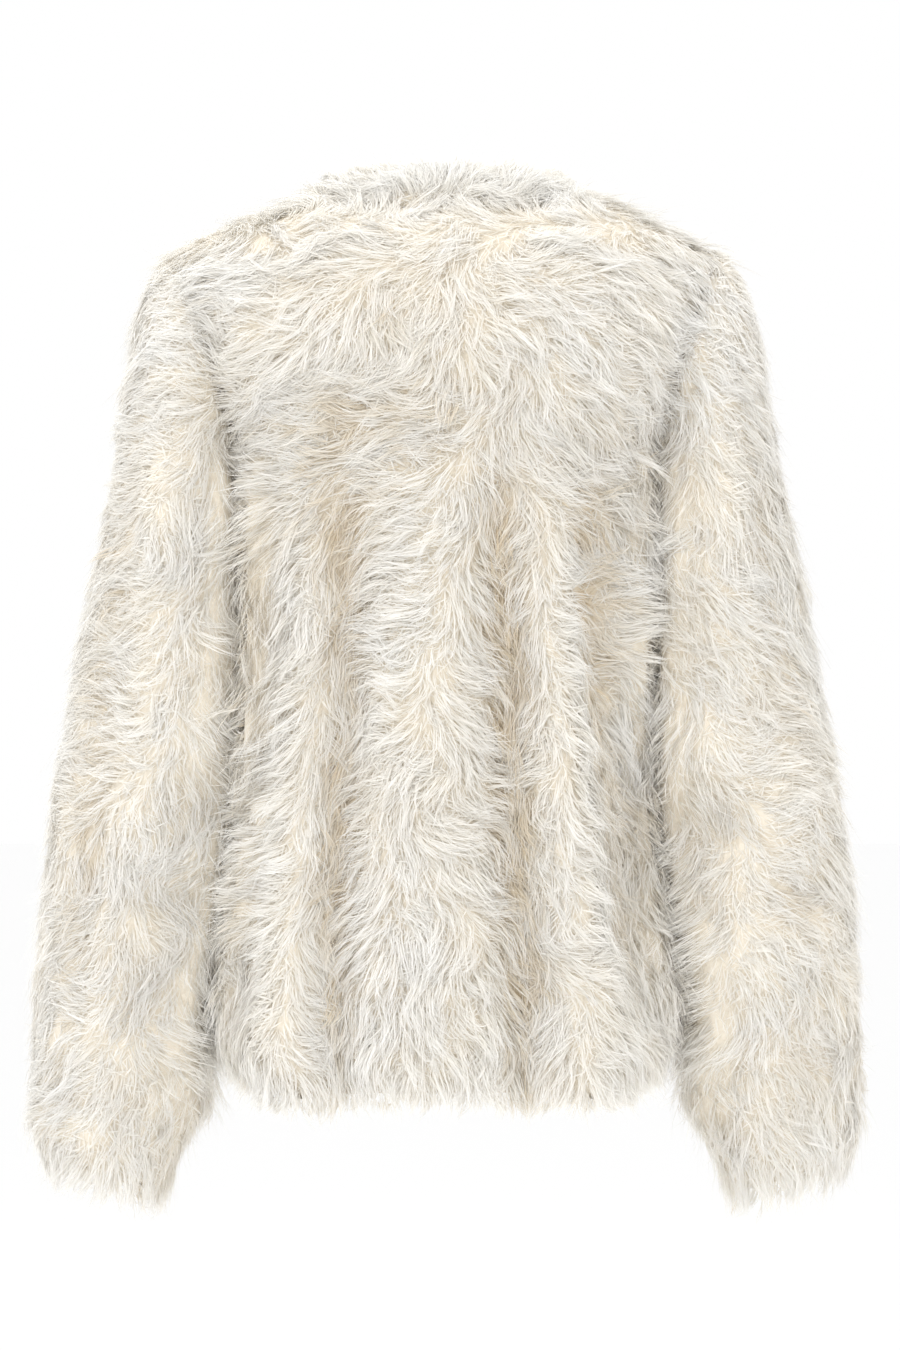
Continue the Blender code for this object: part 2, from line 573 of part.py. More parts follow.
def make_wall(name, outer, inner, material, closed=False, also_rows=()):
    """A closed wall between an outer grid and the kept points of an inner one."""
    rows, columns = outer.shape[:2]
    kept_rows = kept_steps(rows, also_rows)
    kept_columns = list(range(0, columns, 2)) if closed else kept_steps(columns)
    out_index = np.arange(rows * columns).reshape(rows, columns)
    in_index = np.full((rows, columns), -1)
    points = [tuple(p) for p in outer.reshape(-1, 3)]
    for row in kept_rows:
        for column in kept_columns:
            in_index[row, column] = len(points)
            points.append(tuple(inner[row, column]))
    if closed:
        out_index = np.concatenate([out_index, out_index[:, :1]], axis=1)
        in_index = np.concatenate([in_index, in_index[:, :1]], axis=1)
        kept_columns = kept_columns + [columns]
        columns += 1
    faces = grid_faces(points, out_index)
    faces += [face[::-1] for face in grid_faces(points, in_index[np.ix_(kept_rows, kept_columns)])]
    faces += [face[::-1] for face in stitch(out_index[0], kept_columns, in_index[0])]
    faces += stitch(out_index[-1], kept_columns, in_index[-1])
    if not closed:
        faces += stitch(out_index[:, 0], kept_rows, in_index[:, 0])
        faces += [face[::-1] for face in stitch(out_index[:, -1], kept_rows, in_index[:, -1])]
    mesh = bpy.data.meshes.new(name)
    mesh.from_pydata(points, [], [tuple(int(i) for i in face) for face in faces])
    mesh.materials.append(material)
    mesh.shade_smooth()
    piece = bpy.data.objects.new(name, mesh)
    bpy.context.scene.collection.objects.link(piece)
    turn_outwards(mesh)
    mesh.set_sharp_from_angle(angle=SHARP_ANGLE)
    return piece


def turn_outwards(mesh):
    """Flips every face of a closed mesh whose faces all point inwards."""
    mesh.calc_loop_triangles()
    corners = np.array([[mesh.vertices[i].co for i in t.vertices] for t in mesh.loop_triangles])
    if np.linalg.det(corners).sum() < 0:
        mesh.flip_normals()


def fur_material(name, colour):
    material = bpy.data.materials.new(name)
    material.use_nodes = True
    shader = material.node_tree.nodes["Principled BSDF"]
    shader.inputs["Base Color"].default_value = (*colour, 1)
    shader.inputs["Roughness"].default_value = 0.85
    shader.inputs["Metallic"].default_value = 0
    shader.inputs["Sheen Weight"].default_value = 0.4
    return material


# ---- The garment ----------------------------------------------------------------------------------------
def make_panel(name, facing, sides, folds_mm, material):
    outer, inner = panel(facing, sides, folds_mm)
    all_columns = slice(None)
    below_underarm, above_underarm = slice(0, LOWER_ROWS + 1), slice(LOWER_ROWS, len(outer))
    seams = [((-1, all_columns), (-2, all_columns), False)]
    for side, edge, next_in in ((sides[0], -1, -2), (-sides[0], 0, 1)):
        if side in sides:
            for stretch in (below_underarm, above_underarm):
                seams.append(((stretch, edge), (stretch, next_in), False))
    outer, inner = move_off_seams(outer, inner, seams)
    make_wall(name, outer, inner, material, also_rows=(LOWER_ROWS - 1,))


def make_sleeve(name, side, material):
    outer, inner = sleeve(side)
    outer, inner = move_off_seams(outer, inner, [((0, slice(None)), (1, slice(None)), True)])
    make_wall(name, outer, inner, material, closed=True, also_rows=(1,))


def make_neckband(name, material):
    outer, inner = neckband()
    outer, inner = move_off_seams(outer, inner, [((0, slice(None)), (1, slice(None)), False)])
    make_wall(name, outer, inner, material)


def main():
    for thing in list(bpy.data.objects):
        bpy.data.objects.remove(thing, do_unlink=True)
    make_panel("back", 1, (1, -1), BACK_FOLDS_MM, fur_material("back_fur", BACK_COLOUR))
    for side, word in ((1, "left"), (-1, "right")):
        front_fur = fur_material(f"front_{word}_fur", FRONT_COLOUR)
        make_panel(f"front_{word}", -1, (side,), FRONT_FOLDS_MM[side], front_fur)
        make_sleeve(f"sleeve_{word}", side, fur_material(f"sleeve_{word}_fur", SLEEVE_COLOUR))
    make_neckband("neckband", fur_material("neckband_fur", BAND_COLOUR))


main()
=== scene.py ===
"""The looks of a cropped cardigan of long ivory faux fur, shown from behind as if worn.

Each packed panel is a wall as thick as its pile. Here it becomes a thin knitted cloth on the wall's
inner side, a soft undercoat on the cloth, and tapered hairs that come out of the undercoat and end
near the wall's face: 173,000 long ones in locks and tufts, and 60 short ones for each 100 of those.
"""
import math

import bpy
import numpy as np
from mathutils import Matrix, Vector
from mathutils.bvhtree import BVHTree
from mathutils.kdtree import KDTree


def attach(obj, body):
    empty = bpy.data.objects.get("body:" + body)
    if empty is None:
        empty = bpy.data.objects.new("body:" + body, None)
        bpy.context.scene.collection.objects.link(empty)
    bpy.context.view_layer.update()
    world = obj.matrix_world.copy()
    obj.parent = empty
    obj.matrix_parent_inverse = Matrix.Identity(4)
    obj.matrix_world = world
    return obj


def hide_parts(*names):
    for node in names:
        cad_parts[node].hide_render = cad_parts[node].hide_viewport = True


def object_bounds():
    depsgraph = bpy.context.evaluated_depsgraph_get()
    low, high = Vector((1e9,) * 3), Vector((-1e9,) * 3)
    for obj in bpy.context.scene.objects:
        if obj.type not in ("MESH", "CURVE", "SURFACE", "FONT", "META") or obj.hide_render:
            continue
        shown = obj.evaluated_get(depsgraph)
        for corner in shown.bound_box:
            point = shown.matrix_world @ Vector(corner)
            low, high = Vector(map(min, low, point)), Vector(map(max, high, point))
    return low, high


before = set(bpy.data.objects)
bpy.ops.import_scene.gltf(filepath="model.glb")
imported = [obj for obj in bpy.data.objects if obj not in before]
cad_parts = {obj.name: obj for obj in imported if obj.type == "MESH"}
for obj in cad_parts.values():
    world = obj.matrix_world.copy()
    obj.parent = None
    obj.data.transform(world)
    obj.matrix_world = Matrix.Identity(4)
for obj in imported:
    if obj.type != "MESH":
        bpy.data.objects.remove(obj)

CAD_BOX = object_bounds()
MM = 0.001
# A wave, below, is an uneven value that changes smoothly over the garment. It is given as how far it goes
# to each side of nought, the size of its lumps, and its seed.

# ---------------------------------------------------------------- the panels
TORSO = ("back", "front_left", "front_right")
SLEEVES = ("sleeve_left", "sleeve_right")
SIDE = {"sleeve_left": 1, "sleeve_right": -1}  # the wearer's left is +X
# Points inside the hollow that tell a wall's outer face from its inner face.
TORSO_CORE = (90 * MM, -130 * MM)  # half width, top
BAND_CORE_DROP = 20 * MM  # the neckband leans in, so its core is the neck's axis a little lower
SLEEVE_CORE_TOP = -150 * MM
SLEEVE_CORE_STEP = 20 * MM
DECIMALS = 6  # of a metre, to which points that share a place agree
SEAM_REACH = 2 * MM  # a boundary closer than this to another panel is a seam
EASE_ROUNDS = 2  # how often the inner corners of a refined face are eased

# ---------------------------------------------------------------- the layers of the pile
CLOTH = 2 * MM  # thickness of the knitted backing
# How far the cloth's free edge stays behind the tips of the pile, and the stretch over which that fades.
PANEL_SETBACK = (7 * MM, 30 * MM)
BAND_SETBACK = (6 * MM, 16 * MM)
UNDERCOAT = 0.68  # share of the pile's depth that is too dense to see into
UNDERCOAT_FADE = 20 * MM  # stretch from a free edge over which the undercoat gets this deep
CLOSING = 24 * MM  # the stretch over which the undercoat closes on to the cloth's free edge
SEAM_LAP = 3 * MM  # how far the undercoats of two panels reach past the seam between them
FULLNESS = 0.9  # where most of the hairs end, as a share of the pile's depth
SLEEVE_FULLNESS = 0.8  # the same on the sleeves
LEAST_FLUFF = 10 * MM  # how far hairs stand off the cloth where the wall is pressed thin
LUMPS = ((0.11, 26 * MM, 30), (0.09, 13 * MM, 30))  # two waves that make the pile's depth uneven, as shares
OVERHANG = np.array([11, 7.5, 13]) * MM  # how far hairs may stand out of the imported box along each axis

# In a crease between two panels, the pile fills the gap between them.
FILL_SHARE = 0.6  # how much of their gap each one's pile takes
FILL_UNDER = 4 * MM  # how far the undercoat stays below that
FILL_OVER = 5 * MM  # how much further the hairs reach
FILL_TONE = 0.1  # how much such a crease counts as a trough: painted shade in it, and where it is not yet full a slightly lower pile
FILL_FADE = 110 * MM  # the stretch from a free edge over which it comes to do that
FILL_REACH = (32 * MM, 70 * MM)  # the gap up to which it does that, and the gap where it ends
FILL_FACING = (0.3, 0.4)  # cosine towards the other panel at which it starts, and how much more makes it full

# Crests and troughs of the folds.
RELIEF_ROUNDS = 26  # how often a face is eased to get the mean shape that they stand out from
RELIEF_HEIGHT = 6 * MM  # how far from that shape a full crest or trough is
BAND_RELIEF = 0.9  # the neckband counts as this much of a crest throughout: painted light all over it, and a higher pile
MEAN_TONE = 0.6  # painted tone of the pile between crest and trough, from 0 for dark to 1 for light
RELIEF_SHADE = 0.44  # how much lighter the pile is painted on a crest, as painted light, and darker in a trough, as painted shade
RELIEF_RISE = 0.18  # how much higher the pile stands on a crest, and lower in a trough, as a share
# Shallow troughs where the folds of the back begin, added to the relief: painted shade there, and a slightly
# lower pile. x, top, bottom, reach to each side in mm, and share.
SHALLOW_TROUGHS = [
    (60, -90, -280, 22, 0.6),
    (10, -90, -200, 20, 0.5),
    (-34, -150, -330, 14, 0.5),
    (-84, -150, -300, 14, 0.6),
    (138, -200, -420, 14, 0.6),
]
TROUGH_FADE = 45.0  # mm over which such a trough comes and goes

# Hairs near a free edge.
ROOTS_FROM_EDGE = 3 * MM  # no hair's root is closer to it
EDGE_PULL_REACH = 38 * MM  # from here on hairs turn more and more to the edge
EDGE_PULL = 2.5  # how strongly at the edge, where the way that the pile lies anyway counts as 1
SIDEWAYS_PULL = 0.2  # where that edge isn't below them, at least this share of it
BAND_PULL = 0.25  # on the neckband this share of it
# How far locks may reach past the edge, at least and at most.
BODY_PAST_EDGE = (-6 * MM, 6 * MM)
SLEEVE_PAST_EDGE = (8 * MM, 21 * MM)
BAND_PAST_EDGE = (-5 * MM, 3 * MM)
LEAST_LENGTH = 11 * MM  # no lock is cut shorter than this to keep to that
EDGE_FILL_REACH = 28 * MM  # closer than this hairs end at any height above the cloth
EDGE_FILL = 0.9  # the share of their height that they may lack at the edge

# ---------------------------------------------------------------- long hairs
# Fur pieces: name, panel, lowest and highest root in mm, long hairs, seed.
FUR_PIECES = [
    ("fur_back_lower", "back", -700, -300, 31000, 11),
    ("fur_back_upper", "back", -300, 100, 31000, 12),
    ("fur_front_left", "front_left", -700, 100, 17500, 13),
    ("fur_front_right", "front_right", -700, 100, 17500, 14),
    ("fur_sleeve_left_lower", "sleeve_left", -800, -330, 17500, 15),
    ("fur_sleeve_left_upper", "sleeve_left", -330, 100, 16000, 16),
    ("fur_sleeve_right_lower", "sleeve_right", -800, -330, 17500, 17),
    ("fur_sleeve_right_upper", "sleeve_right", -330, 100, 16000, 18),
    ("fur_neckband", "neckband", -100, 100, 9000, 19),
]
# A face whose normal has less Y than this looks to the front, and has only this share of the hairs.
FRONT_LIMIT = -0.25
FRONT_DENSITY = 0.7
# The same for the side of a sleeve that presses on the body, by how far its normal goes away from the body.
PRESSED_LIMIT = -0.75
PRESSED_DENSITY = 0.8

# A hair's ribbon is a point at its root and its tip, and has two corners at each level between.
LEVELS = np.array([0.0, 0.33, 0.67, 1.0])
WIDTHS = np.array([1.0, 0.75])  # the ribbon's width at the levels between
CLIMB = np.array([0.0, 0.6, 0.9, 1.0])  # share of its height that a hair has reached at each level
ROOT_SHARE = 0.9  # share of the undercoat's depth at which it starts
LEAST_RUN = 0.6  # share of its length that it runs along the face, at least
ROLL = 0.35  # how far ribbons roll round their own line, in radians

HAIR_LENGTH = 27 * MM  # of an average lock
HAIR_WIDTH = 0.56 * MM
HAIRS_PER_LOCK = 6
LOCK_SPACING = 5.5 * MM  # how far apart locks are taken to stand where the tufts are counted
TUFT_SPACING = 15 * MM  # how far apart the tufts are by that count
LEAST_TUFTS = 12  # on a fur piece
TUFT_DOME = 0.10  # how much lower its outer locks stand than its middle, as a share
TALL_TUFT_SHARE = 0.2
TALL_TUFT = 0.2  # how much higher those tufts stand, as a share of the pile's height

# How much tufts, locks and hairs differ. What isn't a pair of limits is a standard deviation.
TUFT_HEIGHTS = 0.05
TUFT_LENGTHS = 0.14
TUFT_CURLS = 0.35
LOCK_HEIGHTS = 0.05
LOCK_LENGTHS = 0.12
LOCK_CURLS = 0.45
LOCK_TONES = 0.16
HAIR_LENGTHS = 0.14
HAIR_LENGTH_LIMITS = (0.6, 1.35)
HAIR_LIFTS = 0.05
HAIR_WIDTH_LIMITS = (0.6, 1.25)
STRAY = 1.7 * MM

# How far a lock's tip leans to its tuft's path, and a hair's tip to its lock's: a mean and a wave.
GATHER = 0.22
GATHER_WAVE = (0.25, 45 * MM, 5)
CLOSENESS = 0.45
CLOSENESS_WAVE = (0.35, 25 * MM, 7)
HAIR_CLOSENESS = 0.2  # how much single hairs differ in it, as a standard deviation
CLOSENESS_LIMITS = (0, 0.95)
# How late along a hair these come in, as powers of the level.
GATHER_POWER = 1.3
CLOSENESS_POWER = 1.2
STRAY_POWER = 1.5
WISP_POWER = 2

# Wisps are longer and thinner, and stand off at their tips.
WISP_SHARE = 0.08
WISP_LENGTH = 1.2
WISP_WIDTH = 0.7
WISP_LIFT = 0.5  # how much higher a wisp's tip stands, as a share of the pile's height

# ---------------------------------------------------------------- down
# Short, wide hairs low in the pile, between the long ones.
DOWN_SHARE = 0.6  # how many there are for each long hair
DOWN_LEVELS = np.array([0.0, 0.5, 1.0])
DOWN_WIDTHS = np.array([1.0])  # the ribbon's width at the level between
DOWN_TONES = np.array([0.0, 0.35, 0.6])  # how far along a long hair its colour is at each level, so down low in the pile gets the roots' painted shade
DOWN_LENGTH = 13 * MM
DOWN_LENGTH_LIMITS = (0.75, 1.3)
DOWN_WIDTH = 1.1 * MM
DOWN_WIDTH_LIMITS = (0.6, 1.2)
DOWN_TURN = 0.75  # how far it turns from the way the pile lies, in radians
DOWN_TOP_LIMITS = (0.1, 0.7)  # where its tip is, from the undercoat at 0 to the long hairs' tips at 1
DOWN_CLIMB = 0.7  # share of its height that it has reached half way
DOWN_SHADES = 0.2  # how much its tone differs, as a standard deviation

# ---------------------------------------------------------------- the way the pile lies
# It lies down and, by this much of that, to the sides. Heights are in mm.
TORSO_SPREAD = ([-600, -470, -330, -170, -60], [0.1, 0.3, 0.7, 1.6, 2.2])
SLEEVE_SPREAD = ([-650, -500, -300, -100], [0.0, 0.3, 0.7, 1.0])
TORSO_ASIDE = 0.55  # share of that spread that the torso's pile has
TORSO_HALF = 70 * MM  # how far from the torso's middle it is all there
TORSO_WANDER = (85 * MM, 60 * MM, 3)  # how far that middle wanders to each side
TORSO_FOLLOW = 1.6  # how much the pile also goes the way that its face looks
SLEEVE_FOLLOW = 1.3
WHORL = 0.9  # how far it turns this way and that round the top of the torso's middle, in radians
WHORL_HALF = 50 * MM
WHORL_LUMPS = (26 * MM, 10)  # size, seed

# The back's pile parts below the neckband: above that line it is brushed up.
PARTING = -10 * MM  # height of the line
PARTING_HALF = 105 * MM  # how far it runs to each side
PARTING_WANDER = (14 * MM, 40 * MM, 9)
PARTING_TURN = 9 * MM  # how far from the line it lies all up or down
PARTING_REACH = 18 * MM  # how far from the line it is ruffled
PARTING_RUFFLE = 0.5
PARTING_ASIDE = (3, 32 * MM, 12)  # how much ruffled pile goes to either side, where down counts as 1
PARTING_ASIDE_LIMIT = 1.2  # the most of that

# Round the back the neckband's pile lies up. In front it parts along the band's middle.
BAND_ASIDE = 2.2  # how much it lies to the sides, where up counts as 1
BAND_HALF = 60 * MM  # how far from the middle it does all of that
BAND_WANDER = (30 * MM, 40 * MM, 8)
BAND_BEHIND = 40 * MM  # from here to the back it lies all up
BAND_PARTING = (0.5, 0.15)  # closeness to the free edge at the parting, and from there to all up or down
BAND_OUTWARD = 0.8  # how much it goes outwards, to the front or back,
BAND_OUTWARD_REACH = 70 * MM  # this far from the neck's axis, and less when nearer
BAND_UP_LOSS = 0.6  # how much less it lies up where it goes to the sides
BAND_RUFFLE = 0.3

# How far stretches of the pile turn from that way, in radians.
WIDE_TURN = (0.8, 70 * MM, 1)
MIDDLE_TURN = 0.9
MIDDLE_TURN_LUMPS = (30 * MM, 2)  # size, seed
FINE_TURN = 0.35
FINE_TURN_SIZE = 13 * MM
EDGE_TURN_LOSS = 0.7  # how much less that is where a free edge pulls

# ---------------------------------------------------------------- colours
# Hair colours from root to tip: darker and warmer towards the roots, as painted shade deep in the pile.
SHADED_ROOT = (0.86, 0.80, 0.71)
SHADED_LOW = (0.947, 0.932, 0.90)
MIDDLE = (0.975, 0.972, 0.966)
TIP = (0.99, 0.99, 0.99)
WHITE = (1.0, 1.0, 1.0)
DULL_HAIR = (0.95, 0.945, 0.935)
WARM_PATCH = (1.0, 0.99, 0.97)
# Tones of a place, multiplied into the hairs and the undercoat: painted shade in a trough, painted light on a
# crest.
TROUGH_SHADE = (0.80, 0.71, 0.56)
SLOPE_SHADE = (0.94, 0.93, 0.905)
CREST_LIGHT = (0.985, 0.982, 0.97)
# The undercoat, darker and warmer than the hairs: painted shade deep in the pile, in two tones of random
# flecks.
SHADED_WOOL = ((0.77, 0.70, 0.59), (0.87, 0.815, 0.715))
KNIT = ((0.68, 0.60, 0.48), (0.82, 0.76, 0.66))
FLOOR = (0.98, 0.98, 0.98)
TRANSLUCENCY = 0.33

# ---------------------------------------------------------------- the picture
FLOOR_Z = -1.35
FLOOR_HALF = 30.0
# Lamps: name, place, what it points at, its size in metres and its power in watts.
LAMPS = [
    ("key", (2.1, 2.4, 2.3), (0, 0, -0.3), 1.6, 40),
    ("fill", (-2.6, 2.4, 0.8), (0, 0, -0.3), 2.2, 16),
    ("top", (0.2, 0.9, 2.6), (0, 0, -0.1), 2.0, 28),
    ("front", (0.6, -3.4, 0.9), (0, 0, -0.3), 2.2, 36),
]
CAMERA_X = -2 * MM
CAMERA_Z = -299 * MM
CAMERA_DISTANCE = 3.5
PHOTO_ROWS = 1350
PHOTO_SCALE = 0.65  # mm a pixel at the garment
FRAME_HEIGHT = PHOTO_ROWS * PHOTO_SCALE * MM


# ---------------------------------------------------------------- small helpers
def unit(vectors):
    return vectors / np.maximum(np.linalg.norm(vectors, axis=-1, keepdims=True), 1e-12)


def dot(a, b):
    return (a * b).sum(-1, keepdims=True)


NOISE_CELLS = 32  # after so many lumps along each axis, smooth noise repeats


def smooth_noise(points, size, seed):
    """A value from -1 to 1 for each point, which changes smoothly over about `size`."""
    lattice = np.random.default_rng(seed).uniform(-1, 1, (NOISE_CELLS,) * 3)
    place = points / size
    cell = np.floor(place).astype(np.int64)
    part = place - cell
    part = part * part * (3 - 2 * part)
    total = np.zeros(len(points))
    for corner in np.ndindex(2, 2, 2):
        share = np.prod(np.where(corner, part, 1 - part), axis=1)
        i, j, k = ((cell + corner) % NOISE_CELLS).T
        total += share * lattice[i, j, k]
    return total


def wave(points, height, size, seed):
    """Smooth noise from -height to height."""
    return height * smooth_noise(points, size, seed)


def placed(name, data):
    """A new object of this data, in the scene."""
    obj = bpy.data.objects.new(name, data)
    bpy.context.scene.collection.objects.link(obj)
    return obj


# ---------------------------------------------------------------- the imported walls
def merged_mesh(obj):
    """A node's points and triangles, with the points that share a place joined."""
    mesh = obj.data
    mesh.calc_loop_triangles()
    places = np.empty(len(mesh.vertices) * 3)
    mesh.vertices.foreach_get("co", places)
    corners = np.empty(len(mesh.loop_triangles) * 3, np.int32)
    mesh.loop_triangles.foreach_get("vertices", corners)
    points, index = np.unique(np.round(places.reshape(-1, 3), DECIMALS), axis=0, return_inverse=True)
    return points, index.reshape(-1)[corners.reshape(-1, 3)]


def face_vectors(points, faces):
    """Each triangle's normal times twice its area."""
    a, b, c = (points[faces[:, i]] for i in range(3))
    return np.cross(b - a, c - a)


def corner_normals(points, faces):
    vectors = face_vectors(points, faces)
    normals = np.zeros_like(points)
    for i in range(3):
        np.add.at(normals, faces[:, i], vectors)
    return unit(normals)


def hollow_core(name, points):
    """For each point, a place in the middle of the hollow that its wall encloses."""
    x, y, z = points.T
    if name in TORSO:
        half_width, top = TORSO_CORE
        return np.stack([x.clip(-half_width, half_width), 0 * y, z.clip(None, top)], 1)
    if name == "neckband":
        return np.stack([0 * x, 0 * y, z - BAND_CORE_DROP], 1)
    heights = np.arange(z.min(), SLEEVE_CORE_TOP, SLEEVE_CORE_STEP)
    middles = []
    for height in heights:
        ring = points[np.abs(z - height - SLEEVE_CORE_STEP / 2) < SLEEVE_CORE_STEP]
        middles.append((ring[:, :2].min(0) + ring[:, :2].max(0)) / 2)
    middles = np.array(middles)
    level = z.clip(None, SLEEVE_CORE_TOP)
    return np.stack([np.interp(level, heights, middles[:, i]) for i in (0, 1)] + [level], 1)


def compact(points, faces):
    """Only the points that these faces use, and the faces renumbered."""
    used, index = np.unique(faces, return_inverse=True)
    return points[used], index.reshape(-1, 3)


def wall_sides(name, points, faces):
    """The wall's outer and its inner face, each as (points, faces)."""
    outward = dot(corner_normals(points, faces), points - hollow_core(name, points))[:, 0] > 0
    outside = outward[faces]
    return compact(points, faces[outside.all(1)]), compact(points, faces[~outside.any(1)])


def boundary_points(faces):
    edges = np.sort(np.concatenate([faces[:, [0, 1]], faces[:, [1, 2]], faces[:, [2, 0]]]), axis=1)
    edges, count = np.unique(edges, axis=0, return_counts=True)
    return np.unique(edges[count == 1])


def neighbour_links(faces):
    return np.concatenate([faces[:, [i, j]] for i, j in ((0, 1), (1, 2), (2, 0), (1, 0), (2, 1), (0, 2))])


def eased(points, faces, rounds):
    """The points moved towards the mean of their neighbours. Those on the boundary stay."""
    smooth = points.copy()
    border = boundary_points(faces)
    links = neighbour_links(faces)
    count = np.bincount(links[:, 0], minlength=len(points))[:, None]
    for _ in range(rounds):
        total = np.stack([np.bincount(links[:, 0], smooth[links[:, 1], i], len(points)) for i in range(3)], 1)
        smooth = (smooth + total / count) / 2
        smooth[border] = points[border]
    return smooth


def finer(points, faces):
    """The same face in four times as many triangles, with its inner corners eased."""
    pairs = np.sort(np.concatenate([faces[:, [0, 1]], faces[:, [1, 2]], faces[:, [2, 0]]]), axis=1)
    edges, index = np.unique(pairs, axis=0, return_inverse=True)
    a, b, c = faces.T
    ab, bc, ca = index.reshape(3, -1) + len(points)
    corners = ((a, ab, ca), (ab, b, bc), (ca, bc, c), (ab, bc, ca))
    faces = np.concatenate([np.stack(three, 1) for three in corners])
    return eased(np.concatenate([points, points[edges].mean(1)]), faces, EASE_ROUNDS), faces


def tree_of(points):
    tree = KDTree(len(points))
    for i, point in enumerate(points.tolist()):
        tree.insert(point, i)
    tree.balance()
    return tree


def nearest(tree, points):
    """Index and distance of the tree's nearest point to each point."""
    found = [tree.find(point)[1:] for point in points.tolist()]
    index, distance = zip(*found)
    return np.array(index), np.array(distance)


def shallow_trough(points, x, top, bottom, reach, share):
    """How deep a trough that runs down the back between two heights is at each point, up to share."""
    height = points[:, 2] / MM
    ends = ((height - bottom) / TROUGH_FADE).clip(0, 1) * ((top - height) / TROUGH_FADE).clip(0, 1)
    return share * ends * np.exp(-((points[:, 0] / MM - x) / reach) ** 2)


def free_edge(points, faces, others):
    """The boundary points that no other panel is sewn to."""
    border = boundary_points(faces)
    gap = np.array([others.find_nearest(point)[3] for point in points[border].tolist()])
    return border[gap > SEAM_REACH]


def all_but(name, meshes):
    """The walls of all the other panels, to find what lies next to this one."""
    points, faces, count = [], [], 0
    for other, (corners, triangles) in meshes.items():
        if other != name:
            points.append(corners)
            faces.append(triangles + count)
            count += len(corners)
    return BVHTree.FromPolygons(np.concatenate(points).tolist(), np.concatenate(faces).tolist())


def setback(name):
    return BAND_SETBACK if name == "neckband" else PANEL_SETBACK


def past_edge(name):
    if name == "neckband":
        return BAND_PAST_EDGE
    return SLEEVE_PAST_EDGE if name in SLEEVES else BODY_PAST_EDGE


